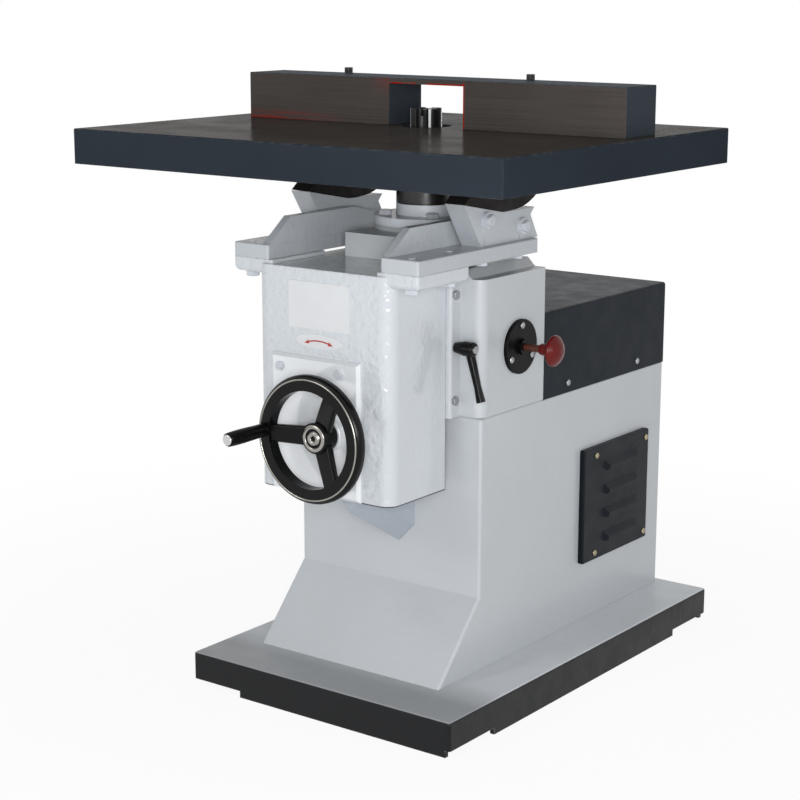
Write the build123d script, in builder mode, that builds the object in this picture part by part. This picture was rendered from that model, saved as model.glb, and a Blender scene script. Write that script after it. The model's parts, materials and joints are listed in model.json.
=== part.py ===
"""Spindle moulder for trimming edges, with a rising and tilting table on a floor pedestal.

X runs to the right along the operator's side, Y to the rear and Z up, in millimetres.
The origin lies on the floor under the middle of the machine's box, in the spindle's mid-plane.
"""

import os
from math import cos, radians, sin, sqrt, tan

from build123d import *

os.makedirs("parts", exist_ok=True)

# Driving dimensions: plinth and pedestal
plinth_width = 516.0
plinth_depth = 806.0
plinth_height = 57.0
plinth_plate = 10.0
plinth_edge = 5.0
skirt_wall = 8.0
notch_height = 11.0
front_notch = 100.0
side_notch = 120.0
plinth_x = 15.0
plinth_y = 54.0
centre_x = 0.0
column_width = 362.0
column_front = -139.0
column_rear = 437.0
column_height = 412.0
column_wall = 8.0
column_edge = 5.0
seam_chamfer = 1.5
toe_reach = 111.0
toe_rise = 121.0

# Driving dimensions: spindle head, its guide and the lock
head_depth = 178.0
head_height = 219.0
head_corner = 16.0
pad_half_width = 147.0
pad_rise = 14.0
guide_half_width = 140.0
guide_depth = 25.8
nose_half_width = 67.0
nose_height = 44.0
boss_rise = 8.0
spindle_setback = 100.0
flange_radius = 83.0
flange_thickness = 14.0
flange_bolt_circle = 66.0
neck_radius = 48.0
neck_height = 44.0
cap_height = 24.0
cartridge_radius = 45.0
cartridge_depth = 168.0
chamber_radius = 60.0
lock_height = 101.0
lock_offset_y = 4.0
lock_flange_radius = 44.0
lock_flange_thickness = 6.0
lock_screw_circle = 34.0
lock_pin_radius = 6.0
lock_throw = 18.0
knob_reach = 80.0

# Driving dimensions: spindle, drive and motor
bearing_bore_radius = 15.0
bearing_outer_radius = 31.0
bearing_width = 16.0
spindle_waist_radius = 20.0
collar_radius = 24.0
collar_height = 28.0
arbor_radius = 12.0
cutter_radius = 25.5
cutter_height = 34.0
cutter_stand = 28.0
spindle_pulley_radius = 27.5
motor_pulley_radius = 82.5
pulley_height = 40.0
pulley_lift = 26.0
belt_width = 32.0
belt_thickness = 3.0
motor_setback = 305.0
motor_radius = 85.0
motor_length = 235.0
motor_flange_radius = 100.0
motor_flange = 14.0
motor_plate = 10.0
motor_shaft_radius = 14.0

# Driving dimensions: belt cover and vent panel
cover_height = 144.0
cover_sheet = 2.5
cover_screw_lift = 16.0
vent_width = 217.0
vent_height = 200.0
vent_front_y = 159.0
vent_bottom_z = 160.0
vent_depth = 10.0
vent_sheet = 2.5
louvre_length = 119.0
louvre_pitch = 42.5
louvre_rise = 22.0
louvre_depth = 7.0
louvre_taper = 12.0

# Driving dimensions: knee, lift and handwheel
knee_half_width = 131.0
knee_depth = 143.0
knee_drop = 115.0
knee_height = 354.0
knee_wall = 12.0
knee_corner = 22.0
slide_gap = 0.2
tongue_root = 55.0
tongue_depth = 32.0
tongue_height = 140.0
tongue_base = 117.0
flank_angle = 30.0
gib_thickness = 8.0
ear_reach = 48.0
ear_length = 132.0
ear_thickness = 23.0
ear_rise = 6.0
ear_round = 9.0
panel_width = 174.0
panel_height = 218.0
panel_thickness = 8.0
panel_offset_x = -10.0
panel_boss_radius = 27.0
panel_boss_height = 10.0
wheel_offset_x = 22.0
wheel_height = 104.0
wheel_radius = 100.0
wheel_rim_width = 24.0
wheel_rim_depth = 20.0
wheel_gap = 2.0
wheel_rim_round = 8.0
hub_length = 27.4
hub_radius = 24.0
hub_setback = 17.0
shaft_radius = 10.0
grip_circle = 86.0
grip_length = 78.6
grip_radius = 11.4
gear_pitch_radius = 28.0
gear_teeth = 20
gear_face = 11.0
lift_screw_radius = 12.0
lift_travel = 80.0
lift_setback = 72.0

# Driving dimensions: table, its brackets and the fence
table_width = 810.0
table_depth = 644.0
table_thickness = 55.0
table_plate = 20.0
table_apron = 16.0
tilt_height = 172.0
table_front = -424.0
table_hole_radius = 70.0
insert_bore = 40.0
insert_ledge = 8.0
hole_relief = 12.0
insert_plate = 6.0
foot_width = 70.0
foot_length = 324.0
foot_thickness = 23.0
foot_outer = 179.0
rib_thickness = 14.0
rib_height = 39.0
saddle_gap = 10.0
saddle_thickness = 37.0
saddle_base = 8.0
saddle_height = 49.0
saddle_nose = 69.0
saddle_setback = 148.0
saddle_rake = 46.0
saddle_break = 58.0
saddle_overhang = 11.0
saddle_bolt_pitch = 98.0
trunnion_flange = 12.0
trunnion_reach = 112.0
web_thickness = 13.0
web_gap = 0.5
tilt_range = 30.0
front_bolt_angle = 30.0
rear_bolt_angle = -9.0
fence_length = 732.0
fence_depth = 88.0
fence_height = 75.0
fence_wall = 8.0
fence_offset_x = 13.0
fence_bolt_left = 199.0
fence_bolt_right = 163.0
fence_bolt_back = 74.0
fence_lead = 21.0
tunnel_width = 145.0
tunnel_height = 66.0
tunnel_offset_x = 13.5

# Driving dimensions: fits and fasteners
running_fit = 0.05
seat_fit = 0.04
bolt_fit = 0.15
m12_flats = 19.0
m12_head = 8.0
m12_radius = 6.0
m10_flats = 17.0
m10_head = 7.0
m10_radius = 5.0
m8_flats = 13.0
m8_head = 5.5
m8_radius = 4.0
m6_radius = 3.0
m6_flats = 10.0
m6_head = 4.0
m6_pan = 5.5
m6_pan_height = 3.0

# Places worked out from the driving dimensions
column_left = centre_x - column_width / 2
column_right = centre_x + column_width / 2
column_toe = column_front - toe_reach
column_bend = plinth_height + toe_rise
column_top = plinth_height + column_height
head_rear = column_front + head_depth
head_top = column_top + head_height
pad_top = head_top + pad_rise
nose_top = pad_top + nose_height + boss_rise
guide_front = column_front - guide_depth
spindle_y = column_front + spindle_setback
motor_y = spindle_y + motor_setback
flange_top = nose_top + flange_thickness
neck_top = flange_top + neck_height
cartridge_bottom = nose_top - cartridge_depth
collar_top = cartridge_bottom - 2.0
collar_bottom = collar_top - collar_height
lock_y = spindle_y + lock_offset_y
lock_z = column_top + lock_height
pulley_bottom = column_top + pulley_lift
pulley_mid = pulley_bottom + pulley_height / 2
lower_bearing_z = cartridge_bottom + 4.0
upper_bearing_z = neck_top - cap_height - bearing_width - 2.0
knee_bottom = column_top - knee_drop
knee_top = knee_bottom + knee_height
knee_rear = guide_front - slide_gap
knee_front = knee_rear - knee_depth
tongue_bottom = knee_bottom + tongue_base
ear_top = knee_top + ear_rise
foot_front = knee_front + 4.0
foot_rear = foot_front + foot_length
foot_top = ear_top + foot_thickness
foot_inner = foot_outer - foot_width
rib_outer = foot_inner + rib_thickness
saddle_inner = rib_outer + saddle_gap
saddle_outer = saddle_inner + saddle_thickness
saddle_mid = (saddle_inner + saddle_outer) / 2
table_top = foot_top + tilt_height
cutter_top = table_top + cutter_stand
cutter_bottom = cutter_top - cutter_height
tilt_radius = table_top - foot_top - saddle_base
web_radius = tilt_radius - web_gap
bolt_radius = tilt_radius - 12.0
saddle_top = foot_top + saddle_height
hub_radius_of_tilt = table_top - saddle_top - 1.0
table_bottom = table_top - table_thickness
table_middle_y = table_front + table_depth / 2
wheel_x = centre_x + wheel_offset_x
wheel_z = knee_bottom + wheel_height
panel_front = knee_front - panel_thickness
panel_boss_front = panel_front - panel_boss_height
hub_rear = panel_boss_front - wheel_gap
hub_front = hub_rear - hub_length
rim_front = hub_front - hub_setback
lift_y = knee_front + lift_setback
fence_x = centre_x + fence_offset_x
fence_front = spindle_y - fence_lead
fence_top = table_top + fence_height
tunnel_x = centre_x + tunnel_offset_x
mirror_plane = Plane.YZ.offset(centre_x)


def hex_bolt(plane, flats, head, radius, length):
    """A hex bolt with its head standing on the plane and its shank behind the plane."""
    with BuildPart() as bolt:
        with BuildSketch(plane):
            RegularPolygon(flats / 2, 6, major_radius=False)
        extrude(amount=head)
        with BuildSketch(plane):
            Circle(radius)
        extrude(amount=-length)
    return bolt.part


def pan_screw(plane, length):
    """A domed slotted screw seated on the plane."""
    with BuildPart() as screw:
        with BuildSketch(plane):
            Circle(m6_pan)
        extrude(amount=m6_pan_height)
        chamfer(screw.edges().filter_by(GeomType.CIRCLE).group_by(SortBy.DISTANCE)[-1], 0.8)
        with BuildSketch(plane):
            Circle(m6_radius)
        extrude(amount=-length)
    return screw.part


def turned(profile, axis_origin):
    """A solid of revolution about a vertical axis, from (radius, height) corners."""
    with BuildPart() as body:
        with BuildSketch(Plane(axis_origin, x_dir=(1, 0, 0), z_dir=(0, -1, 0))):
            with BuildLine():
                Polyline(profile, close=True)
            make_face()
        revolve(axis=Axis(axis_origin, (0, 0, 1)))
    return body.part


def ring(outer, inner, bottom, top, x, y):
    """A plain ring about a vertical axis."""
    with BuildPart() as body:
        with BuildSketch(Plane.XY.offset(bottom)):
            with Locations((x, y)):
                Circle(outer)
                Circle(inner, mode=Mode.SUBTRACT)
        extrude(amount=top - bottom)
    return body.part


# Plinth: a plate with skirts round it, and the skirts stand clear of the floor near the corners
with BuildPart() as plinth:
    with BuildSketch():
        with Locations((plinth_x, plinth_y)):
            RectangleRounded(plinth_width, plinth_depth, plinth_edge)
    extrude(amount=plinth_height)
    fillet(plinth.faces().sort_by(Axis.Z)[-1].edges(), plinth_edge - 1)
    with BuildSketch():
        with Locations((plinth_x, plinth_y)):
            Rectangle(plinth_width - 2 * skirt_wall, plinth_depth - 2 * skirt_wall)
    extrude(amount=plinth_height - plinth_plate, mode=Mode.SUBTRACT)
    for end in (-1, 1):
        with Locations((plinth_x - plinth_width / 2, plinth_y + end * plinth_depth / 2, 0)):
            Box(2 * front_notch, 2 * skirt_wall, 2 * notch_height, mode=Mode.SUBTRACT)
        notch_y = plinth_y + end * (plinth_depth / 2 - skirt_wall)
        for side in (-1, 1):
            with Locations((plinth_x + side * plinth_width / 2, notch_y, 0)):
                Box(2 * skirt_wall, 2 * (side_notch - skirt_wall), 2 * notch_height, mode=Mode.SUBTRACT)


def column_section(inset):
    """The pedestal's side outline: upright at the rear and flared out to a toe in front."""
    with BuildSketch() as section:
        with BuildLine():
            Polyline(
                (column_toe, plinth_height),
                (column_rear, plinth_height),
                (column_rear, column_top),
                (column_front, column_top),
                (column_front, column_bend),
                close=True,
            )
        make_face()
        if inset:
            offset(amount=-inset, kind=Kind.INTERSECTION)
    return section.sketch


vent_mid_y = vent_front_y + vent_width / 2
vent_mid_z = vent_bottom_z + vent_height / 2
louvre_mid_y = vent_front_y + vent_width - 36.0 - louvre_length / 2
motor_opening = 2 * motor_flange_radius + 30.0
cover_screw_spots = [head_rear + 77.0, column_rear - 93.0]
lug_size = 24.0

# Pedestal: a welded box, open above the motor and behind the vent panel
with BuildPart() as pedestal:
    with BuildSketch(Plane.YZ.offset(column_left)):
        add(column_section(0))
    extrude(amount=column_width)
    corner_edges = pedestal.edges().filter_by(lambda e: abs(e.tangent_at(0.5).X) < 0.01)
    upright_edges = corner_edges.filter_by(lambda e: abs(e.tangent_at(0.5).Z) > 0.5)
    fillet(upright_edges, column_edge)
    chamfer(pedestal.faces().sort_by(Axis.Z)[-1].edges(), seam_chamfer)
    with BuildSketch(Plane.YZ.offset(column_left + column_wall)):
        add(column_section(column_wall))
    extrude(amount=column_width - 2 * column_wall, mode=Mode.SUBTRACT)
    with Locations((centre_x, motor_y, column_top)):
        Box(motor_opening, motor_opening, 3 * column_wall, mode=Mode.SUBTRACT)
    with Locations((column_right, louvre_mid_y, vent_mid_z)):
        Box(3 * column_wall, louvre_length + 20, vent_height - 40, mode=Mode.SUBTRACT)
    for side in (-1, 1):
        for y in cover_screw_spots:
            lug_x = centre_x + side * (column_width / 2 - cover_sheet - lug_size / 2)
            with Locations((lug_x, y, column_top + lug_size / 2)):
                Box(lug_size, lug_size, lug_size)
            with Locations(Location((lug_x, y, column_top + cover_screw_lift), (0, 90, 0))):
                Cylinder(m6_radius + bolt_fit, 2 * lug_size, mode=Mode.SUBTRACT)
    vent_screw_spots = [
        (y, z)
        for y in (vent_front_y + 39.0, vent_front_y + vent_width - 10.0)
        for z in (vent_bottom_z + 12.0, vent_bottom_z + vent_height - 15.0)
    ]
    for y, z in vent_screw_spots:
        with Locations(Location((column_right, y, z), (0, 90, 0))):
            Cylinder(m6_radius + bolt_fit, 4 * column_wall, mode=Mode.SUBTRACT)


def flank_x(y, side, extra):
    """X of a dovetail flank at depth y, moved out from the tongue by extra."""
    run = (y - knee_rear) * tan(radians(flank_angle))
    return centre_x + side * (tongue_root + run + extra / cos(radians(flank_angle)))


def dovetail(left_extra, right_extra, front, rear):
    """Plan outline of a dovetail between two depths."""
    with BuildSketch() as outline:
        with BuildLine():
            Polyline(
                (flank_x(front, -1, left_extra), front),
                (flank_x(front, 1, right_extra), front),
                (flank_x(rear, 1, right_extra), rear),
                (flank_x(rear, -1, left_extra), rear),
                close=True,
            )
        make_face()
    return outline.sketch


tongue_tip = knee_rear + tongue_depth
groove_floor = tongue_tip + 1.0
gib_screw_y = column_front - guide_depth * 0.62
gib_screw_heights = [column_top + 28.0, column_top + 195.0]
lever_z = column_top + 113.0
guide_right = centre_x + guide_half_width
gib_outer_x = flank_x(gib_screw_y, 1, 2 * slide_gap + gib_thickness)

# Spindle head: the upper casting with the dovetail guide, the bearing bore and the belt chamber
with BuildPart() as spindle_head:
    with BuildSketch(Plane.XY.offset(column_top)):
        with Locations((centre_x, (column_front + head_rear) / 2)):
            Rectangle(column_width, head_depth)
    extrude(amount=head_height)
    fillet(spindle_head.edges().filter_by(Axis.Z).group_by(Axis.Y)[0], head_corner)
    chamfer(spindle_head.faces().sort_by(Axis.Z)[0].edges(), seam_chamfer)
    with BuildSketch(Plane.XZ.offset(-head_rear)):
        with BuildLine():
            Polyline(
                (centre_x - pad_half_width - pad_rise, head_top),
                (centre_x + pad_half_width + pad_rise, head_top),
                (centre_x + pad_half_width, pad_top),
                (centre_x - pad_half_width, pad_top),
                close=True,
            )
        make_face()
    extrude(amount=head_depth)
    with BuildSketch(Plane.XY.offset(column_top)):
        with Locations((centre_x, (guide_front + column_front) / 2 + 1)):
            Rectangle(2 * guide_half_width, guide_depth + 2)
    extrude(amount=pad_top - column_top)
    fillet(spindle_head.edges().filter_by(Axis.Z).group_by(Axis.Y)[0], 5.0)
    with BuildSketch(Plane.XY.offset(pad_top)):
        with Locations((centre_x, (guide_front + spindle_y) / 2)):
            Rectangle(2 * nose_half_width, spindle_y - guide_front)
    extrude(amount=nose_height)
    with BuildSketch(Plane.XY.offset(pad_top)):
        with Locations((centre_x, spindle_y)):
            Circle(flange_radius)
    extrude(amount=nose_height + boss_rise)
    with BuildSketch(Plane.XY.offset(column_top)):
        add(dovetail(slide_gap, 2 * slide_gap + gib_thickness, guide_front - 1, groove_floor))
    extrude(amount=pad_top - column_top, mode=Mode.SUBTRACT)
    with BuildSketch(Plane.XY.offset(column_top)):
        with Locations((centre_x, spindle_y)):
            Circle(chamber_radius)
    extrude(amount=cartridge_bottom - column_top, mode=Mode.SUBTRACT)
    with BuildSketch(Plane.XY.offset(column_top)):
        with Locations((centre_x, spindle_y)):
            Circle(cartridge_radius + seat_fit)
    extrude(amount=nose_top - column_top, mode=Mode.SUBTRACT)
    slot_reach = head_rear - spindle_y
    slot_height = pulley_mid + pulley_height / 2 + 10 - column_top
    with Locations((centre_x, spindle_y + slot_reach / 2 + 5, column_top)):
        Box(2 * chamber_radius, slot_reach + 10, 2 * slot_height, mode=Mode.SUBTRACT)
    with Locations(Location((column_right, lock_y, lock_z), (0, 90, 0))):
        Cylinder(lock_pin_radius + running_fit, 2 * (column_right - centre_x), mode=Mode.SUBTRACT)
    for z in gib_screw_heights + [lever_z]:
        with Locations(Location((guide_right, gib_screw_y, z), (0, 90, 0))):
            Cylinder(m8_radius + running_fit, 2 * (guide_right - gib_outer_x), mode=Mode.SUBTRACT)
    flange_bolt_spots = PolarLocations(flange_bolt_circle, 4, start_angle=45).local_locations
    with Locations((centre_x, spindle_y, nose_top)):
        with PolarLocations(flange_bolt_circle, 4, start_angle=45):
            Hole(m12_radius + bolt_fit, 30.0)
    lock_spots = [
        (lock_y + lock_screw_circle * cos(radians(a)), lock_z + lock_screw_circle * sin(radians(a)))
        for a in (90, 210, 330)
    ]
    for y, z in lock_spots:
        with Locations(Location((column_right, y, z), (0, 90, 0))):
            Cylinder(m6_radius + bolt_fit, 30.0, mode=Mode.SUBTRACT)

# Gib: the wedge strip that takes up wear on the right flank of the dovetail
with BuildPart() as gib:
    with BuildSketch(Plane.XY.offset(column_top + 10)):
        with BuildLine():
            Polyline(
                (flank_x(guide_front + 1, 1, slide_gap), guide_front + 1),
                (flank_x(guide_front + 1, 1, slide_gap + gib_thickness), guide_front + 1),
                (flank_x(tongue_tip, 1, slide_gap + gib_thickness), tongue_tip),
                (flank_x(tongue_tip, 1, slide_gap), tongue_tip),
                close=True,
            )
        make_face()
    extrude(amount=head_height - 20)

gib_screw_length = guide_right - gib_outer_x - 3.0
with BuildPart() as gib_screws:
    for z in gib_screw_heights:
        place = Plane((guide_right, gib_screw_y, z), x_dir=(0, 1, 0), z_dir=(1, 0, 0))
        add(hex_bolt(place, m8_flats, m8_head, m8_radius, gib_screw_length))

# Spindle cartridge: the flanged tube that carries both bearings, with a groove under its bearing cap
cap_bottom = neck_top - cap_height
cap_groove = 1.5
bearing_seat = bearing_outer_radius + seat_fit
cartridge_bore = collar_radius
with BuildPart() as spindle_cartridge:
    add(
        turned(
            [
                (cartridge_bore, cartridge_bottom + 2),
                (cartridge_radius, cartridge_bottom + 2),
                (cartridge_radius, nose_top),
                (flange_radius, nose_top),
                (flange_radius, flange_top),
                (neck_radius, flange_top),
                (neck_radius, cap_bottom - cap_groove),
                (neck_radius - cap_groove, cap_bottom - cap_groove),
                (neck_radius - cap_groove, cap_bottom),
                (neck_radius, cap_bottom),
                (neck_radius, neck_top - cap_groove),
                (neck_radius - cap_groove, neck_top),
                (cartridge_bore, neck_top),
            ],
            (centre_x, spindle_y, 0),
        )
    )
    for z in (lower_bearing_z, upper_bearing_z):
        with BuildSketch(Plane.XY.offset(z)):
            with Locations((centre_x, spindle_y)):
                Circle(bearing_seat)
        extrude(amount=bearing_width, mode=Mode.SUBTRACT)
    with Locations((centre_x, spindle_y, flange_top)):
        with PolarLocations(flange_bolt_circle, 4, start_angle=45):
            Hole(m12_radius + bolt_fit, flange_thickness + 1)

with BuildPart() as flange_bolts:
    for spot in flange_bolt_spots:
        place = Plane.XY.offset(flange_top)
        place.origin = (centre_x + spot.position.X, spindle_y + spot.position.Y, flange_top)
        add(hex_bolt(place, m12_flats, m12_head, m12_radius, flange_thickness + 20))

with BuildPart() as spindle_bearings:
    for low in (lower_bearing_z, upper_bearing_z):
        bore = bearing_bore_radius + running_fit
        add(ring(bearing_outer_radius, bore, low, low + bearing_width, centre_x, spindle_y))

# Spindle: pulley seat, brake collar, two bearing seats, waist, neck, shoulder and arbor
pulley_seat_radius = bearing_bore_radius - 1.0
neck_shaft_radius = bearing_bore_radius + 2.0
shoulder_bottom = cutter_bottom - 10.0
with BuildPart() as spindle_shaft:
    add(
        turned(
            [
                (0, pulley_bottom - 6),
                (pulley_seat_radius, pulley_bottom - 6),
                (pulley_seat_radius, collar_bottom),
                (collar_radius, collar_bottom),
                (collar_radius, collar_top),
                (bearing_bore_radius, collar_top),
                (bearing_bore_radius, lower_bearing_z + bearing_width),
                (spindle_waist_radius, lower_bearing_z + bearing_width),
                (spindle_waist_radius, upper_bearing_z),
                (bearing_bore_radius, upper_bearing_z),
                (bearing_bore_radius, upper_bearing_z + bearing_width),
                (neck_shaft_radius, upper_bearing_z + bearing_width),
                (neck_shaft_radius, shoulder_bottom),
                (collar_radius, shoulder_bottom),
                (collar_radius, cutter_bottom),
                (arbor_radius, cutter_bottom),
                (arbor_radius, cutter_top - 2),
                (0, cutter_top - 2),
            ],
            (centre_x, spindle_y, 0),
        )
    )

# Cutter: a block with four gullets and a recess for its nut
gullet_radius = cutter_radius * 0.42
nut_recess = 12.0
nut_flats = 27.0
with BuildPart() as cutter:
    with BuildSketch(Plane.XY.offset(cutter_bottom)):
        with Locations((centre_x, spindle_y)):
            Circle(cutter_radius)
            with PolarLocations(cutter_radius, 4, start_angle=20):
                Circle(gullet_radius, mode=Mode.SUBTRACT)
            Circle(arbor_radius + seat_fit, mode=Mode.SUBTRACT)
    extrude(amount=cutter_height)
    with BuildSketch(Plane.XY.offset(cutter_top)):
        with Locations((centre_x, spindle_y)):
            Circle(nut_flats * 0.6)
    extrude(amount=-nut_recess, mode=Mode.SUBTRACT)

with BuildPart() as spindle_nut:
    with BuildSketch(Plane.XY.offset(cutter_top - nut_recess)):
        with Locations((centre_x, spindle_y)):
            RegularPolygon(nut_flats / 2, 6, major_radius=False)
            Circle(arbor_radius + seat_fit, mode=Mode.SUBTRACT)
    extrude(amount=nut_recess - 1)


def flat_pulley(outer, bore, x, y):
    """A flat belt pulley with low rims, turned about a vertical axis."""
    rim = 2.5
    low = pulley_bottom
    high = pulley_bottom + pulley_height
    return turned(
        [
            (bore, low),
            (outer + rim, low),
            (outer + rim, low + rim),
            (outer, low + rim),
            (outer, high - rim),
            (outer + rim, high - rim),
            (outer + rim, high),
            (bore, high),
        ],
        (x, y, 0),
    )


with BuildPart() as spindle_pulley:
    add(flat_pulley(spindle_pulley_radius, pulley_seat_radius + seat_fit, centre_x, spindle_y))

# Motor pulley: the same rim, lightened by six round holes
with BuildPart() as motor_pulley:
    add(flat_pulley(motor_pulley_radius, motor_shaft_radius + seat_fit, centre_x, motor_y))
    with Locations((centre_x, motor_y, pulley_bottom + pulley_height)):
        with PolarLocations((motor_pulley_radius + motor_shaft_radius) / 2, 6):
            Hole(motor_pulley_radius / 6, pulley_height)

# Drive belt: a flat loop round both pulleys
belt_gap = 0.3


def belt_outline(extra):
    """The shape inside a belt that stands off both pulleys by extra."""
    with BuildSketch() as outline:
        with Locations((centre_x, spindle_y)):
            Circle(spindle_pulley_radius + extra)
        with Locations((centre_x, motor_y)):
            Circle(motor_pulley_radius + extra)
        make_hull()
    return outline.sketch


with BuildPart() as drive_belt:
    with BuildSketch(Plane.XY.offset(pulley_mid - belt_width / 2)):
        add(belt_outline(belt_gap + belt_thickness))
        add(belt_outline(belt_gap), mode=Mode.SUBTRACT)
    extrude(amount=belt_width)

# Motor: hangs from a plate over the pedestal's opening, with cooling fins along its sides
motor_top = column_top
motor_bottom = motor_top - motor_flange - motor_length
plate_side = motor_opening + 60.0
with BuildPart() as motor_base_plate:
    with BuildSketch(Plane.XY.offset(column_top)):
        with Locations((centre_x, motor_y)):
            Rectangle(plate_side, plate_side)
            Circle(motor_shaft_radius + 6, mode=Mode.SUBTRACT)
    extrude(amount=motor_plate)

fin_count = 24
fin_height = 7.0
with BuildPart() as motor_housing:
    with BuildSketch(Plane.XY.offset(motor_top - motor_flange)):
        with Locations((centre_x, motor_y)):
            Circle(motor_flange_radius)
    extrude(amount=motor_flange)
    with BuildSketch(Plane.XY.offset(motor_bottom)):
        with Locations((centre_x, motor_y)):
            Circle(motor_radius - fin_height)
            with PolarLocations(motor_radius - fin_height, fin_count):
                Rectangle(2 * fin_height, 3.0)
    extrude(amount=motor_length)
    with BuildSketch(Plane.XY.offset(motor_bottom)):
        with Locations((centre_x, motor_y)):
            Circle(motor_radius)
    extrude(amount=50.0)
    with Locations((centre_x - motor_radius - 12, motor_y, motor_top - 120)):
        Box(50, 80, 80)
    with Locations((centre_x, motor_y, motor_top)):
        Hole(motor_shaft_radius + running_fit, motor_length / 2)

with BuildPart() as motor_shaft:
    with BuildSketch(Plane.XY.offset(motor_top - motor_length / 2 + 1)):
        with Locations((centre_x, motor_y)):
            Circle(motor_shaft_radius)
    extrude(amount=pulley_bottom + pulley_height - motor_top + motor_length / 2 - 1)

# Belt cover: a folded sheet box, open below and towards the spindle head
cover_depth = column_rear - head_rear
with BuildPart() as belt_cover:
    with Locations((centre_x, head_rear + cover_depth / 2, column_top + cover_height / 2)):
        Box(column_width, cover_depth, cover_height)
    fillet(belt_cover.edges().filter_by(Axis.Y).group_by(Axis.Z)[-1], 2 * cover_sheet)
    hollow_y = head_rear + cover_depth / 2 - cover_sheet
    hollow_z = column_top + cover_height / 2 - cover_sheet
    with Locations((centre_x, hollow_y, hollow_z)):
        Box(column_width - 2 * cover_sheet, cover_depth, cover_height, mode=Mode.SUBTRACT)
    for side in (-1, 1):
        for y in cover_screw_spots:
            spot = (centre_x + side * column_width / 2, y, column_top + cover_screw_lift)
            with Locations(Location(spot, (0, 90, 0))):
                Cylinder(m6_radius + bolt_fit, 4 * cover_sheet, mode=Mode.SUBTRACT)

with BuildPart() as cover_screws:
    for side in (-1, 1):
        for y in cover_screw_spots:
            spot = (centre_x + side * column_width / 2, y, column_top + cover_screw_lift)
            add(pan_screw(Plane(spot, x_dir=(0, 1, 0), z_dir=(side, 0, 0)), 16.0))

# Vent panel: a shallow pressed tray with a column of louvres that open downwards
vent_face = column_right + vent_depth
louvre_heights = [vent_bottom_z + 28.0 + i * louvre_pitch for i in range(4)]


def louvre(length, rise, back, front, low):
    """A hood that grows from the tray's face and narrows towards its lip at the bottom."""
    lip = rise * 0.3
    with BuildPart() as hood:
        with BuildSketch(Plane((back, louvre_mid_y, low + rise / 2), x_dir=(0, 1, 0), z_dir=(1, 0, 0))):
            Rectangle(length, rise)
        with BuildSketch(Plane((front, louvre_mid_y, low + lip / 2), x_dir=(0, 1, 0), z_dir=(1, 0, 0))):
            Rectangle(length - 2 * louvre_taper, lip)
        loft()
    return hood.part


with BuildPart() as vent_panel:
    with Locations((column_right + vent_depth / 2, vent_mid_y, vent_mid_z)):
        Box(vent_depth, vent_width, vent_height)
    fillet(vent_panel.edges().filter_by(Axis.X), 4.0)
    fillet(vent_panel.faces().sort_by(Axis.X)[-1].edges(), vent_sheet)
    for low in louvre_heights:
        add(louvre(louvre_length, louvre_rise, vent_face - vent_sheet, vent_face + louvre_depth, low))
    with Locations((column_right, vent_mid_y, vent_mid_z)):
        Box(
            2 * (vent_depth - vent_sheet),
            vent_width - 2 * vent_sheet,
            vent_height - 2 * vent_sheet,
            mode=Mode.SUBTRACT,
        )
    for low in louvre_heights:
        inner_length = louvre_length - 2 * vent_sheet
        inner_front = vent_face + louvre_depth - vent_sheet
        inner_back = vent_face - 2 * vent_sheet
        hollow = louvre(inner_length, louvre_rise, inner_back, inner_front, low - vent_sheet)
        add(hollow, mode=Mode.SUBTRACT)
    for y, z in vent_screw_spots:
        with Locations(Location((column_right, y, z), (0, 90, 0))):
            Cylinder(m6_radius + bolt_fit, 4 * vent_depth, mode=Mode.SUBTRACT)

with BuildPart() as vent_screws:
    for y, z in vent_screw_spots:
        spot = (vent_face, y, z)
        add(pan_screw(Plane(spot, x_dir=(0, 1, 0), z_dir=(1, 0, 0)), vent_depth + 8.0))

# Spindle lock: a flange on the head's right side and a pin that is pushed in to hold the brake collar
lock_plane = Plane((column_right, lock_y, lock_z), x_dir=(0, 1, 0), z_dir=(1, 0, 0))
lock_boss_radius = 13.0
lock_boss_height = 6.0
with BuildPart() as lock_flange:
    with BuildSketch(lock_plane):
        Circle(lock_flange_radius)
    extrude(amount=lock_flange_thickness)
    chamfer(lock_flange.faces().sort_by(Axis.X)[-1].edges(), 1.0)
    with BuildSketch(lock_plane):
        Circle(lock_boss_radius)
    extrude(amount=lock_flange_thickness + lock_boss_height)
    with BuildSketch(lock_plane):
        Circle(lock_pin_radius + running_fit)
        with PolarLocations(lock_screw_circle, 3, start_angle=90):
            Circle(m6_radius + bolt_fit)
    extrude(amount=lock_flange_thickness + lock_boss_height, mode=Mode.SUBTRACT)

with BuildPart() as lock_screws:
    for y, z in lock_spots:
        spot = (column_right + lock_flange_thickness, y, z)
        add(pan_screw(Plane(spot, x_dir=(0, 1, 0), z_dir=(1, 0, 0)), 14.0))

pin_gap = 0.3
pin_tip = centre_x + collar_radius + lock_throw + pin_gap
knob_end = column_right + knob_reach
knob_radius = 25.0
knob_depth = 26.0
with BuildPart() as lock_pin:
    with BuildSketch(Plane((pin_tip, lock_y, lock_z), x_dir=(0, 1, 0), z_dir=(1, 0, 0))):
        Circle(lock_pin_radius)
    extrude(amount=knob_end - 12 - pin_tip)

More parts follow.
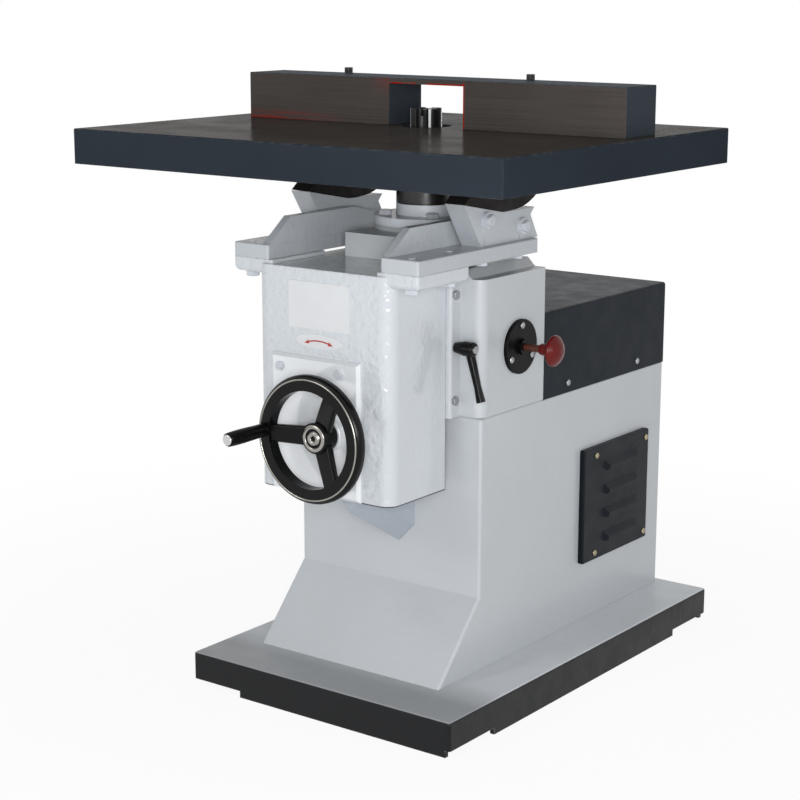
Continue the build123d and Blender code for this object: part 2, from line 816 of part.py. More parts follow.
# Knob: a mushroom head on a tapered neck
with BuildPart() as lock_knob:
    with BuildSketch(Plane((0, lock_y, lock_z), x_dir=(1, 0, 0), z_dir=(0, -1, 0))):
        with BuildLine():
            Polyline(
                (knob_end, 0),
                (knob_end - 12, 0),
                (knob_end - 12, lock_pin_radius + seat_fit),
                (knob_end - knob_depth - 12, lock_pin_radius + seat_fit),
                (knob_end - knob_depth - 12, 9.0),
                (knob_end - knob_depth + 2, 11.0),
                (knob_end - 17, knob_radius - 2),
            )
            ThreePointArc(
                (knob_end - 17, knob_radius - 2),
                (knob_end - 13.5, knob_radius),
                (knob_end - 10, knob_radius - 2),
            )
            ThreePointArc(
                (knob_end - 10, knob_radius - 2),
                (knob_end - 3, knob_radius * 0.55),
                (knob_end, knob_radius * 0.2),
            )
            Line((knob_end, knob_radius * 0.2), (knob_end, 0))
        make_face()
    revolve(axis=Axis((0, lock_y, lock_z), (1, 0, 0)))

# Clamp lever: a cast arm with a hub on the clamping stud
lever_reach = 28.0
lever_length = 84.0
lever_lean = 24.0
lever_top = Vector(guide_right + lever_reach, gib_screw_y, lever_z)
lever_end = lever_top + Vector(lever_lean, 0, -lever_length)
lever_plane = Plane((guide_right, gib_screw_y, lever_z), x_dir=(0, 1, 0), z_dir=(1, 0, 0))
with BuildPart() as clamp_lever:
    with BuildSketch(lever_plane.offset(3)):
        Circle(8.0)
    with BuildSketch(lever_plane.offset(lever_reach - 8)):
        Circle(11.5)
    loft()
    with BuildSketch(lever_plane.offset(lever_reach - 8)):
        Circle(11.5)
    extrude(amount=18)
    fillet(clamp_lever.faces().sort_by(Axis.X)[-1].edges(), 3.0)
    arm_line = (lever_end - lever_top).normalized()
    for start, end, root, tip in ((0.0, 0.72, 7.0, 5.5), (0.72, 1.0, 5.5, 7.0)):
        low = lever_top + arm_line * (lever_length * start)
        high = lever_top + arm_line * (lever_length * end)
        with BuildSketch(Plane(low, x_dir=(0, 1, 0), z_dir=arm_line)):
            RectangleRounded(2 * root, 1.6 * root, root * 0.5)
        with BuildSketch(Plane(high, x_dir=(0, 1, 0), z_dir=arm_line)):
            RectangleRounded(2 * tip, 1.6 * tip, tip * 0.5)
        loft()
    with Locations(Location((guide_right, gib_screw_y, lever_z), (0, 90, 0))):
        Cylinder(m8_radius + seat_fit, 4 * lever_reach, mode=Mode.SUBTRACT)

with BuildPart() as lever_stud:
    with BuildSketch(lever_plane.offset(gib_outer_x + 3 - guide_right)):
        Circle(m8_radius)
    extrude(amount=guide_right + lever_reach + 10 - gib_outer_x - 3)
    with BuildSketch(lever_plane.offset(lever_reach + 10)):
        Circle(6.0)
    extrude(amount=3)

# Lift bracket: bolted on the pedestal's front, with a keeled corbel that carries it under the knee
bracket_low = knee_bottom + 8.0
bracket_high = bracket_low + 24.0
bracket_half = 34.0
corbel_drop = 116.0
corbel_tip_drop = 38.0
corbel_half = 31.0
corbel_tip_half = 24.0
with BuildPart() as lift_bracket:
    with BuildSketch(Plane.XY.offset(bracket_low)):
        with Locations((wheel_x, lift_y)):
            Circle(bracket_half)
        with Locations((wheel_x, (lift_y + column_front) / 2)):
            Rectangle(2 * bracket_half, column_front - lift_y)
        with Locations((wheel_x, lift_y)):
            Circle(lift_screw_radius + seat_fit, mode=Mode.SUBTRACT)
    extrude(amount=bracket_high - bracket_low)
    with Locations((wheel_x, column_front - 6, bracket_low - 2)):
        Box(3 * bracket_half, 12, 64)
    root = (column_front, corbel_half, corbel_drop)
    tip = (lift_y - bracket_half, corbel_tip_half, corbel_tip_drop)
    for y, half, drop in (root, tip):
        with BuildSketch(Plane.XZ.offset(-y)):
            with BuildLine():
                Polyline(
                    (wheel_x - half, bracket_low + 1),
                    (wheel_x - half, bracket_low - drop + half),
                    (wheel_x, bracket_low - drop),
                    (wheel_x + half, bracket_low - drop + half),
                    (wheel_x + half, bracket_low + 1),
                    close=True,
                )
            make_face()
    loft()
    with BuildSketch(Plane.XY.offset(bracket_low - 7)):
        with Locations((wheel_x, lift_y)):
            Circle(lift_screw_radius + seat_fit)
    extrude(amount=9, mode=Mode.SUBTRACT)
    for side in (-1, 1):
        spot = (wheel_x + side * 1.22 * bracket_half, column_front - 6, bracket_low - 20)
        with Locations(Location(spot, (90, 0, 0))):
            Cylinder(m8_radius + bolt_fit, 14, mode=Mode.SUBTRACT)

with BuildPart() as lift_bracket_bolts:
    for side in (-1, 1):
        spot = (wheel_x + side * 1.22 * bracket_half, column_front - 12, bracket_low - 20)
        place = Plane(spot, x_dir=(1, 0, 0), z_dir=(0, -1, 0))
        add(hex_bolt(place, m8_flats, m8_head, m8_radius, 11.0))

screw_top = bracket_high + lift_travel + 130.0
with BuildPart() as lift_screw:
    with BuildSketch(Plane.XY.offset(bracket_low - 6)):
        with Locations((wheel_x, lift_y)):
            Circle(lift_screw_radius)
    extrude(amount=screw_top - bracket_low + 6)
    chamfer(lift_screw.faces().sort_by(Axis.Z)[-1].edges(), 2.0)

# Knee: a hollow casting with ears for the table brackets and a dovetail tongue on its back
nut_web_low = bracket_high + 12.0
nut_web_high = nut_web_low + 14.0
nut_journal = 20.0
boss_radius = 26.0
bush_radius = shaft_radius + 4.0
gear_apex_y = lift_y
pinion_back = lift_y - gear_pitch_radius
boss_end = pinion_back - 8.0
ear_bolt_x = foot_inner + 46.0
ear_bolt_spots = [foot_front + 17.0, foot_front + 112.0]
with BuildPart() as knee:
    with BuildSketch(Plane.XY.offset(knee_bottom)):
        with Locations((centre_x, (knee_front + knee_rear) / 2)):
            Rectangle(2 * knee_half_width, knee_depth)
    extrude(amount=knee_top - knee_bottom)
    fillet(knee.edges().filter_by(Axis.Z).group_by(Axis.Y)[0], knee_corner)
    for side in (-1, 1):
        ear_width = foot_outer - foot_inner + 8
        ear_mid = centre_x + side * (foot_outer - ear_width / 2)
        with BuildSketch(Plane.XY.offset(ear_top - ear_thickness)):
            with Locations((ear_mid, foot_front + ear_length / 2)):
                RectangleRounded(ear_width, ear_length, 4.0)
        extrude(amount=ear_thickness)
    ear_edges = knee.edges().filter_by(Axis.Y).group_by(Axis.Z)
    ear_low = [group for group in ear_edges if abs(group[0].center().Z - ear_top + ear_thickness) < 0.1][0]
    fillet(ear_low.sort_by(Axis.X)[0], ear_round)
    fillet(ear_low.sort_by(Axis.X)[-1], ear_round)
    inner_width = 2 * (knee_half_width - knee_wall)
    with BuildSketch(Plane.XY.offset(knee_bottom)):
        with Locations((centre_x, (knee_front + knee_rear) / 2)):
            RectangleRounded(inner_width, knee_depth - 2 * knee_wall, knee_corner - knee_wall)
    extrude(amount=knee_top - knee_bottom - knee_wall, mode=Mode.SUBTRACT)
    with Locations((centre_x, knee_rear, (knee_bottom + tongue_bottom) / 2)):
        Box(inner_width, 3 * knee_wall, tongue_bottom - knee_bottom, mode=Mode.SUBTRACT)
    with BuildSketch(Plane.XY.offset(tongue_bottom)):
        add(dovetail(0, 0, knee_rear, tongue_tip))
    extrude(amount=tongue_height)
    web_depth = knee_depth - 2 * knee_wall + 2
    web_y = knee_front + knee_wall + web_depth / 2 - 1
    with Locations((centre_x, web_y, (nut_web_low + nut_web_high) / 2)):
        Box(inner_width + 2, web_depth, nut_web_high - nut_web_low)
    boss_start = (wheel_x, knee_front + knee_wall - 1, wheel_z)
    with BuildSketch(Plane(boss_start, x_dir=(1, 0, 0), z_dir=(0, 1, 0))):
        Circle(boss_radius)
    extrude(amount=boss_end - knee_front - knee_wall + 1)
    with Locations(Location((wheel_x, knee_front, wheel_z), (90, 0, 0))):
        Cylinder(bush_radius + seat_fit, 3 * (boss_end - knee_front), mode=Mode.SUBTRACT)
    with Locations((wheel_x, lift_y, nut_web_high)):
        Hole(nut_journal + running_fit, nut_web_high - nut_web_low + 1)
    for side in (-1, 1):
        for y in ear_bolt_spots:
            with Locations((centre_x + side * ear_bolt_x, y, ear_top)):
                Hole(m12_radius + bolt_fit, 2 * ear_thickness)

# Handwheel shaft bush, pressed in the knee's boss
with BuildPart() as shaft_bush:
    with BuildSketch(Plane((wheel_x, panel_boss_front, wheel_z), x_dir=(1, 0, 0), z_dir=(0, 1, 0))):
        Circle(bush_radius)
        Circle(shaft_radius + running_fit, mode=Mode.SUBTRACT)
    extrude(amount=boss_end - panel_boss_front)

# Front panel: the plate that closes the lift gear's chamber, with a bevelled border and a boss for the shaft
panel_x = centre_x + panel_offset_x
panel_low = knee_bottom + 1.0
panel_bolt_spots = [panel_x - 66.0, panel_x + 50.0]
panel_bolt_z = panel_low + panel_height - 20.0
with BuildPart() as front_panel:
    with BuildSketch(Plane.XZ.offset(-knee_front)):
        with Locations((panel_x, panel_low + panel_height / 2)):
            Rectangle(panel_width, panel_height)
    extrude(amount=panel_thickness)
    chamfer(front_panel.faces().sort_by(Axis.Y)[0].edges(), panel_thickness * 0.6)
    with BuildSketch(Plane.XZ.offset(-panel_front)):
        with Locations((wheel_x, wheel_z)):
            Circle(panel_boss_radius)
    extrude(amount=panel_boss_height)
    fillet(front_panel.faces().sort_by(Axis.Y)[0].edges(), 2.0)
    with BuildSketch(Plane.XZ.offset(-knee_front)):
        with Locations((wheel_x, wheel_z)):
            Circle(bush_radius + seat_fit)
        for x in panel_bolt_spots:
            with Locations((x, panel_bolt_z)):
                Circle(m8_radius + bolt_fit)
    extrude(amount=panel_thickness + panel_boss_height, mode=Mode.SUBTRACT)

with BuildPart() as panel_bolts:
    for x in panel_bolt_spots:
        place = Plane((x, panel_front, panel_bolt_z), x_dir=(1, 0, 0), z_dir=(0, -1, 0))
        add(hex_bolt(place, m8_flats, m8_head, m8_radius, panel_thickness - 1))


def mitre_gear(half_tooth_turn):
    """A straight-toothed mitre gear about Z, big end at z = 0 and apex above it at the pitch radius."""
    cone = gear_pitch_radius * sqrt(2)
    small = (cone - gear_face) / cone
    addendum = gear_pitch_radius * 0.075
    dedendum = gear_pitch_radius * 0.095
    pitch_width = 3.1416 * gear_pitch_radius / gear_teeth
    across = Vector(1, 0, 1).normalized()
    apex = Vector(0, 0, gear_pitch_radius)
    rim = Vector(gear_pitch_radius, 0, 0)

    def tooth_plane(scale):
        return Plane(apex + (rim - apex) * scale, x_dir=(0, 1, 0), z_dir=(rim - apex))

    with BuildPart() as tooth:
        for scale in (1.0, small):
            with BuildSketch(tooth_plane(scale)):
                with BuildLine():
                    Polyline(
                        (-pitch_width * 0.58 * scale, -dedendum * 1.15 * scale),
                        (pitch_width * 0.58 * scale, -dedendum * 1.15 * scale),
                        (pitch_width * 0.22 * scale, addendum * scale),
                        (-pitch_width * 0.22 * scale, addendum * scale),
                        close=True,
                    )
                make_face()
        loft()
    root = rim - across * dedendum
    tip = apex + (root - apex) * small
    with BuildPart() as gear:
        with BuildSketch(Plane.XZ):
            with BuildLine():
                Polyline(
                    (0, root.Z - 5),
                    (root.X - 4, root.Z - 5),
                    (root.X, root.Z),
                    (tip.X, tip.Z),
                    (0, tip.Z),
                    close=True,
                )
            make_face()
        revolve(axis=Axis.Z)
        with PolarLocations(0, gear_teeth, start_angle=half_tooth_turn):
            add(tooth.part)
    return gear.part


# Lift nut: a mitre gear on a journal, threaded on the lift screw
gear_z = wheel_z - gear_pitch_radius
with BuildPart() as lift_nut:
    add(mitre_gear(0).moved(Location((wheel_x, lift_y, gear_z), (0, 0, 90))))
    add(ring(nut_journal + 4, lift_screw_radius, nut_web_high, gear_z - 4, wheel_x, lift_y))
    add(ring(nut_journal, lift_screw_radius, nut_web_low - 6, nut_web_high, wheel_x, lift_y))
    with Locations((wheel_x, lift_y, gear_z)):
        Cylinder(lift_screw_radius + running_fit, 200, mode=Mode.SUBTRACT)

with BuildPart() as nut_ring:
    add(ring(nut_journal + 5, nut_journal + seat_fit, nut_web_low - 6, nut_web_low, wheel_x, lift_y))

# Handwheel shaft with its pinion
with BuildPart() as wheel_shaft:
    with BuildSketch(Plane((wheel_x, hub_front + 3, wheel_z), x_dir=(1, 0, 0), z_dir=(0, 1, 0))):
        Circle(shaft_radius)
    extrude(amount=pinion_back + 5 - hub_front - 3)

with BuildPart() as lift_pinion:
    half_pitch = 180.0 / gear_teeth
    add(mitre_gear(half_pitch).moved(Location((wheel_x, pinion_back, wheel_z), (-90, 0, 0))))
    with Locations(Location((wheel_x, pinion_back, wheel_z), (90, 0, 0))):
        Cylinder(shaft_radius + seat_fit, 3 * gear_pitch_radius, mode=Mode.SUBTRACT)


# Handwheel: a rounded rim, three tapered spokes and a hub
wheel_plane = Plane((wheel_x, 0, wheel_z), x_dir=(1, 0, 0), z_dir=(0, -1, 0))
rim_inner = wheel_radius - wheel_rim_width
grip_x = wheel_x + grip_circle * cos(radians(177))
grip_z = wheel_z + grip_circle * sin(radians(177))
grip_plane = Plane((grip_x, rim_front, grip_z), x_dir=(1, 0, 0), z_dir=(0, -1, 0))
stud_radius = 5.0
with BuildPart() as handwheel:
    with BuildSketch(Plane((wheel_x, 0, wheel_z), x_dir=(1, 0, 0), z_dir=(0, 0, 1))):
        with Locations((wheel_radius - wheel_rim_width / 2, rim_front + wheel_rim_depth / 2)):
            rim_section = Rectangle(wheel_rim_width, wheel_rim_depth)
        corners = rim_section.vertices().group_by(Axis.X)
        fillet(corners[-1], wheel_rim_round)
        fillet(corners[0], wheel_rim_round / 3)
        with Locations((hub_radius / 2, (hub_front + hub_rear) / 2)):
            Rectangle(hub_radius, hub_rear - hub_front)
    revolve(axis=Axis((wheel_x, 0, wheel_z), (0, 1, 0)))
    for angle in (60, 180, 300):
        along = Vector(cos(radians(angle)), 0, sin(radians(angle)))
        for_hub = Vector(wheel_x, hub_front + 11, wheel_z) + along * (hub_radius - 4)
        for_rim = Vector(wheel_x, rim_front + wheel_rim_depth / 2, wheel_z) + along * (rim_inner + 5)
        with BuildSketch(Plane(for_hub, x_dir=(0, 1, 0), z_dir=along)):
            RectangleRounded(14, 30, 4)
        with BuildSketch(Plane(for_rim, x_dir=(0, 1, 0), z_dir=along)):
            RectangleRounded(11, 27, 4)
        loft()
    with Locations(Location((wheel_x, hub_front, wheel_z), (90, 0, 0))):
        Cylinder(shaft_radius + seat_fit, 4 * hub_length, mode=Mode.SUBTRACT)
    with BuildSketch(grip_plane.offset(-wheel_rim_depth)):
        Circle(stud_radius + seat_fit)
    extrude(amount=2 * wheel_rim_depth, mode=Mode.SUBTRACT)

cap_rim_radius = hub_radius - 2.4
cap_groove_radius = 15.0
cap_screw_radius = 11.0
with BuildPart() as hub_cap:
    with BuildSketch(wheel_plane.offset(-hub_front)):
        Circle(cap_rim_radius)
    extrude(amount=3)
    with BuildSketch(wheel_plane.offset(-hub_front)):
        Circle(cap_screw_radius)
    extrude(amount=4.5)
    with BuildSketch(wheel_plane.offset(3 - hub_front)):
        Circle(cap_groove_radius)
        Circle(cap_screw_radius, mode=Mode.SUBTRACT)
    extrude(amount=-2, mode=Mode.SUBTRACT)
    with BuildSketch(wheel_plane.offset(4.5 - hub_front)):
        RegularPolygon(4, 6)
    extrude(amount=-3, mode=Mode.SUBTRACT)
    with BuildSketch(wheel_plane.offset(-hub_front)):
        Circle(shaft_radius)
    extrude(amount=-3)

# Revolving grip on a stud in the handwheel's rim
grip_start = 3.0
with BuildPart() as grip_stud:
    with BuildSketch(grip_plane.offset(-wheel_rim_depth + 4)):
        Circle(stud_radius)
    extrude(amount=wheel_rim_depth - 4 + grip_start + grip_length)
    with BuildSketch(grip_plane.offset(grip_start + grip_length)):
        Circle(grip_radius - 3)
    extrude(amount=3.5)
    fillet(grip_stud.faces().sort_by(Axis.Y)[0].edges(), 1.5)
    with BuildSketch(grip_plane):
        Circle(stud_radius + 3)
    extrude(amount=grip_start - 0.4)

grip_end = grip_start + grip_length - 0.4
with BuildPart() as handle_grip:
    with BuildSketch(Plane((grip_x, 0, grip_z), x_dir=(1, 0, 0), z_dir=(0, 0, 1))):
        with BuildLine():
            outline = Spline(
                (grip_radius - 1.0, rim_front - grip_start),
                (grip_radius - 0.7, rim_front - grip_length * 0.3),
                (grip_radius, rim_front - grip_length * 0.72),
                (grip_radius - 0.8, rim_front - grip_end),
            )
            Polyline(outline @ 1, (0, rim_front - grip_end), (0, rim_front - grip_start), outline @ 0)
        make_face()
    revolve(axis=Axis((grip_x, 0, grip_z), (0, 1, 0)))
    with BuildSketch(grip_plane):
        Circle(stud_radius + running_fit)
    extrude(amount=grip_start + grip_length, mode=Mode.SUBTRACT)

# Bracket: a foot along the knee's ear with an upright rib on its inner edge
saddle_front = foot_rear - saddle_setback
saddle_bolt_spots = [saddle_front + 2 * m10_radius, saddle_front + 2 * m10_radius + saddle_bolt_pitch]
saddle_bolt_x = saddle_outer - m10_radius - 0.5
rib_top = foot_top + rib_height
with BuildPart() as bracket_right:
    foot_x = centre_x + (foot_inner + foot_outer) / 2
    with Locations((foot_x, (foot_front + foot_rear) / 2, (ear_top + foot_top) / 2)):
        Box(foot_width, foot_length, foot_thickness)
    fillet(bracket_right.edges().filter_by(Axis.Z), 4.0)
    chamfer(bracket_right.faces().sort_by(Axis.Z)[-1].edges(), 1.5)
    with BuildSketch(Plane.YZ.offset(centre_x + foot_inner)):
        with BuildLine():
            Polyline(
                (foot_front + 3, foot_top - 1),
                (foot_front + 56, rib_top),
                (foot_rear - 104, rib_top),
                (foot_rear - 44, rib_top - 15),
                (foot_rear - 8, foot_top - 1),
                close=True,
            )
        make_face()
    extrude(amount=rib_thickness)
    for y in ear_bolt_spots:
        with Locations((centre_x + ear_bolt_x, y, foot_top)):
            Hole(m12_radius + bolt_fit, 2 * foot_thickness)
    for y in saddle_bolt_spots:
        with Locations((centre_x + saddle_bolt_x, y, foot_top)):
            Hole(m10_radius + bolt_fit, 2 * foot_thickness)

with BuildPart() as bracket_left:
    mirror(bracket_right.part, about=mirror_plane)

tilt_axis = (spindle_y, table_top)


def tilt_point(angle, radius):
    """A point at an angle forward of straight down from the tilt axis, as (Y, Z)."""
    return (
        spindle_y - radius * sin(radians(angle)),
        table_top - radius * cos(radians(angle)),
    )


# Saddle: a cheek block with a raked front face, slotted from above for the trunnion's web
slot_width = web_thickness + 2 * web_gap
slot_front_angle = front_bolt_angle + tilt_range + 10.0
slot_rear_angle = rear_bolt_angle - 6.0
saddle_rear = foot_rear + saddle_overhang
saddle_tip_y = saddle_front - saddle_rake
saddle_break_y = saddle_front + saddle_break
with BuildPart() as saddle_right:
    with BuildSketch(Plane.YZ.offset(centre_x + saddle_inner)):
        with BuildLine():
            Polyline(
                (saddle_front, foot_top),
                (saddle_rear, foot_top),
                (saddle_rear - 2 * saddle_overhang, saddle_top - saddle_overhang),
                (saddle_rear - saddle_overhang, saddle_top),
                (saddle_break_y, saddle_top),
                (saddle_tip_y, foot_top + saddle_nose),
                close=True,
            )
        make_face()
    extrude(amount=saddle_thickness)
    with BuildSketch(Plane.YZ.offset(centre_x + saddle_mid - slot_width / 2)):
        with Locations(tilt_axis):
            Circle(tilt_radius)
        with BuildLine():
            Polyline(
                tilt_axis,
                tilt_point(slot_front_angle, 2 * tilt_radius),
                tilt_point(front_bolt_angle, 2 * tilt_radius),
                tilt_point(slot_rear_angle, 2 * tilt_radius),
                close=True,
            )
        make_face(mode=Mode.INTERSECT)
    extrude(amount=slot_width, mode=Mode.SUBTRACT)
    for angle in (front_bolt_angle, rear_bolt_angle):
        y, z = tilt_point(angle, bolt_radius)
        with Locations(Location((centre_x + saddle_outer, y, z), (0, 90, 0))):
            Cylinder(m10_radius + bolt_fit, 2 * saddle_thickness - 6, mode=Mode.SUBTRACT)
    for y in saddle_bolt_spots:
        with Locations((centre_x + saddle_bolt_x, y, foot_top)):
            Cylinder(m10_radius + bolt_fit, 2 * 14, mode=Mode.SUBTRACT)

with BuildPart() as saddle_left:
    mirror(saddle_right.part, about=mirror_plane)

washer_radius = 13.5
washer_height = 5.0


def both_sides(part):
    """The part on the right and its mirror image on the left."""
    with BuildPart() as pair:
        add(part)
        mirror(part, about=mirror_plane)
    return pair.part


with BuildPart() as clamp_washers_one:
    for angle in (front_bolt_angle, rear_bolt_angle):
        y, z = tilt_point(angle, bolt_radius)
        with BuildSketch(Plane((centre_x + saddle_outer, y, z), x_dir=(0, 1, 0), z_dir=(1, 0, 0))):
            Circle(washer_radius)
            Circle(m10_radius + bolt_fit, mode=Mode.SUBTRACT)
        extrude(amount=washer_height)
with BuildPart() as clamp_washers:
    add(both_sides(clamp_washers_one.part))

with BuildPart() as clamp_bolts_one:
    for angle in (front_bolt_angle, rear_bolt_angle):
        y, z = tilt_point(angle, bolt_radius)
        place = Plane((centre_x + saddle_outer + washer_height, y, z), x_dir=(0, 1, 0), z_dir=(1, 0, 0))
        add(hex_bolt(place, m10_flats, m10_head, m10_radius, washer_height + saddle_thickness - 5))
with BuildPart() as clamp_bolts:
    add(both_sides(clamp_bolts_one.part))

with BuildPart() as ear_bolts_one:
    for y in ear_bolt_spots:
        seat = (centre_x + ear_bolt_x, y, ear_top - ear_thickness)
        place = Plane(seat, x_dir=(1, 0, 0), z_dir=(0, 0, -1))
        add(hex_bolt(place, m12_flats, m12_head, m12_radius, ear_thickness + foot_thickness + 1))
with BuildPart() as ear_bolts:
    add(both_sides(ear_bolts_one.part))

with BuildPart() as saddle_bolts_one:
    for y in saddle_bolt_spots:
        place = Plane((centre_x + saddle_bolt_x, y, ear_top), x_dir=(1, 0, 0), z_dir=(0, 0, -1))
        add(hex_bolt(place, m10_flats, m10_head, m10_radius, foot_thickness + 12))
with BuildPart() as saddle_bolts:
    add(both_sides(saddle_bolts_one.part))

# Trunnion: a flange under the table, a thick half-moon body and a thin web with the clamp's arc slot
web_end = 5.5
web_front_angle = front_bolt_angle + web_end
web_rear_angle = front_bolt_angle - tilt_range - web_end
flange_low = table_bottom - trunnion_flange
flange_front = saddle_tip_y - 6.0
flange_rear = spindle_y + trunnion_reach
trunnion_bolt_y = [flange_front + 14.0, flange_rear - 39.0]
trunnion_bolt_x = [saddle_inner - 7.0, saddle_outer + 7.0]
with BuildPart() as trunnion_right:
    flange_mid_y = (flange_front + flange_rear) / 2
    with Locations((centre_x + saddle_mid, flange_mid_y, (flange_low + table_bottom) / 2)):
        Box(saddle_thickness + 28, flange_rear - flange_front, trunnion_flange)
    with BuildSketch(Plane.YZ.offset(centre_x + saddle_inner)):
        with BuildLine():
            body_rear = tilt_point(-40, hub_radius_of_tilt)
            body_low = tilt_point(0, hub_radius_of_tilt)
            Polyline(
                body_rear,
                (body_rear[0] + 12, flange_low + 1),
                (saddle_tip_y + 48, flange_low + 1),
                (saddle_tip_y + 1, foot_top + saddle_nose + 1),
                (saddle_break_y, saddle_top + 1),
                body_low,
            )
            ThreePointArc(body_low, tilt_point(-20, hub_radius_of_tilt), body_rear)
        make_face()
    extrude(amount=saddle_thickness)
    with BuildSketch(Plane.YZ.offset(centre_x + saddle_mid - web_thickness / 2)):
        with Locations(tilt_axis):
            Circle(web_radius)
        with BuildLine():
            Polyline(
                tilt_point(web_front_angle, table_top - flange_low),
                tilt_point(web_front_angle, 2 * web_radius),
                tilt_point(web_rear_angle, 2 * web_radius),
                tilt_point(web_rear_angle, table_top - flange_low),
                close=True,
            )
        make_face(mode=Mode.INTERSECT)
        clamp_arc = Edge.make_circle(
            bolt_radius,
            Plane((spindle_y, table_top, 0)),
            start_angle=-90 - front_bolt_angle,
            end_angle=-90 - front_bolt_angle + tilt_range,
        )
        SlotArc(clamp_arc, 2 * m10_radius + 2 * web_gap, mode=Mode.SUBTRACT)
    extrude(amount=web_thickness)
    for x in trunnion_bolt_x:
        for y in trunnion_bolt_y:
            with Locations((centre_x + x, y, table_bottom)):
                Hole(m6_radius + bolt_fit, 40.0)

with BuildPart() as trunnion_left:
    mirror(trunnion_right.part, about=mirror_plane)

with BuildPart() as trunnion_bolts_one:
    for x in trunnion_bolt_x:
        for y in trunnion_bolt_y:
            place = Plane((centre_x + x, y, flange_low), x_dir=(1, 0, 0), z_dir=(0, 0, -1))
            add(hex_bolt(place, m6_flats, m6_head, m6_radius, table_bottom - flange_low + 18.0))
with BuildPart() as trunnion_bolts:
    add(both_sides(trunnion_bolts_one.part))

# Table: a cast plate with an apron, pads for the trunnions and a ring round the spindle hole
fence_bolt_spots = [centre_x - fence_bolt_left, centre_x + fence_bolt_right]
fence_bolt_y = fence_front + fence_bolt_back
with BuildPart() as table:
    with Locations((centre_x, table_middle_y, table_top - table_thickness / 2)):
        Box(table_width, table_depth, table_thickness)
    fillet(table.edges().filter_by(Axis.Z), 3.0)
    chamfer(table.faces().sort_by(Axis.Z)[-1].edges(), 1.5)
    with Locations((centre_x, table_middle_y, table_bottom)):
        Box(
            table_width - 2 * table_apron,
            table_depth - 2 * table_apron,
            2 * (table_thickness - table_plate),
            mode=Mode.SUBTRACT,
        )
    pad_mid_z = (table_bottom + table_top - table_plate) / 2
    pad_height = table_thickness - table_plate
    for side in (-1, 1):
        with Locations((centre_x + side * saddle_mid, table_middle_y, pad_mid_z)):
            Box(saddle_thickness + 36, table_depth - 2 * table_apron, pad_height)
        with Locations((centre_x + side * table_width * 0.36, table_middle_y, pad_mid_z)):
            Box(table_apron, table_depth - 2 * table_apron, pad_height)
    with Locations((centre_x, spindle_y, pad_mid_z)):
        Cylinder(table_hole_radius + table_apron, pad_height)
        Cylinder(table_hole_radius - insert_ledge, 3 * table_thickness, mode=Mode.SUBTRACT)
    with Locations((centre_x, spindle_y, table_bottom + hole_relief / 2)):
        clear_radius = table_hole_radius - insert_ledge
        Cone(clear_radius + hole_relief, clear_radius, hole_relief, mode=Mode.SUBTRACT)
    with Locations((centre_x, spindle_y, table_top)):
        Cylinder(table_hole_radius, 2 * insert_plate, mode=Mode.SUBTRACT)
    for side in (-1, 1):
        for x in trunnion_bolt_x:
            for y in trunnion_bolt_y:
                with Locations((centre_x + side * x, y, table_bottom)):
                    Cylinder(m6_radius + bolt_fit, 2 * 20.0, mode=Mode.SUBTRACT)
    for x in fence_bolt_spots:
        with Locations((x, fence_bolt_y, table_top)):
            Hole(m8_radius + bolt_fit, table_plate - 2)

# Table insert: the loose ring that closes the spindle hole up to the cutter
with BuildPart() as table_insert:
    insert_bottom = table_top - insert_plate
    add(ring(table_hole_radius - seat_fit, insert_bore, insert_bottom, table_top, centre_x, spindle_y))
    chamfer(table_insert.faces().sort_by(Axis.Z)[-1].edges(), 0.6)


def fence_box(start, end):
    """One half of the fence: a box casting, open below, with its bolt hole in the roof."""
    middle = ((start + end) / 2, fence_front + fence_depth / 2)
    with BuildPart() as half:
        with Locations((*middle, table_top + fence_height / 2)):
            Box(end - start, fence_depth, fence_height)
        chamfer(half.faces().sort_by(Axis.Z)[-1].edges(), 1.0)
        with Locations((*middle, table_top)):
            Box(
                end - start - 2 * fence_wall,
                fence_depth - 2 * fence_wall,
                2 * (fence_height - fence_wall),
                mode=Mode.SUBTRACT,
            )
        for x in fence_bolt_spots:
            if start < x < end:
                with Locations((x, fence_bolt_y, fence_top)):
                    Hole(m8_radius + bolt_fit, 2 * fence_wall)
    return half.part


# Fence: two box castings and a bridge over the tunnel where the cutter works
tunnel_start = tunnel_x - tunnel_width / 2
tunnel_end = tunnel_x + tunnel_width / 2
with BuildPart() as fence_left:
    add(fence_box(fence_x - fence_length / 2, tunnel_start))

with BuildPart() as fence_right:
    add(fence_box(tunnel_end, fence_x + fence_length / 2))

with BuildPart() as fence_bridge:
    bridge_height = fence_height - tunnel_height
    with Locations((tunnel_x, fence_front + fence_depth / 2, fence_top - bridge_height / 2)):
        Box(tunnel_width, fence_depth, bridge_height)
    chamfer(fence_bridge.faces().sort_by(Axis.Z)[-1].edges().filter_by(Axis.X), 1.0)

with BuildPart() as fence_bolts:
    for x in fence_bolt_spots:
        place = Plane((x, fence_bolt_y, fence_top), x_dir=(1, 0, 0), z_dir=(0, 0, 1))
        add(hex_bolt(place, m8_flats, m8_head + 4, m8_radius, fence_height + table_plate - 4))

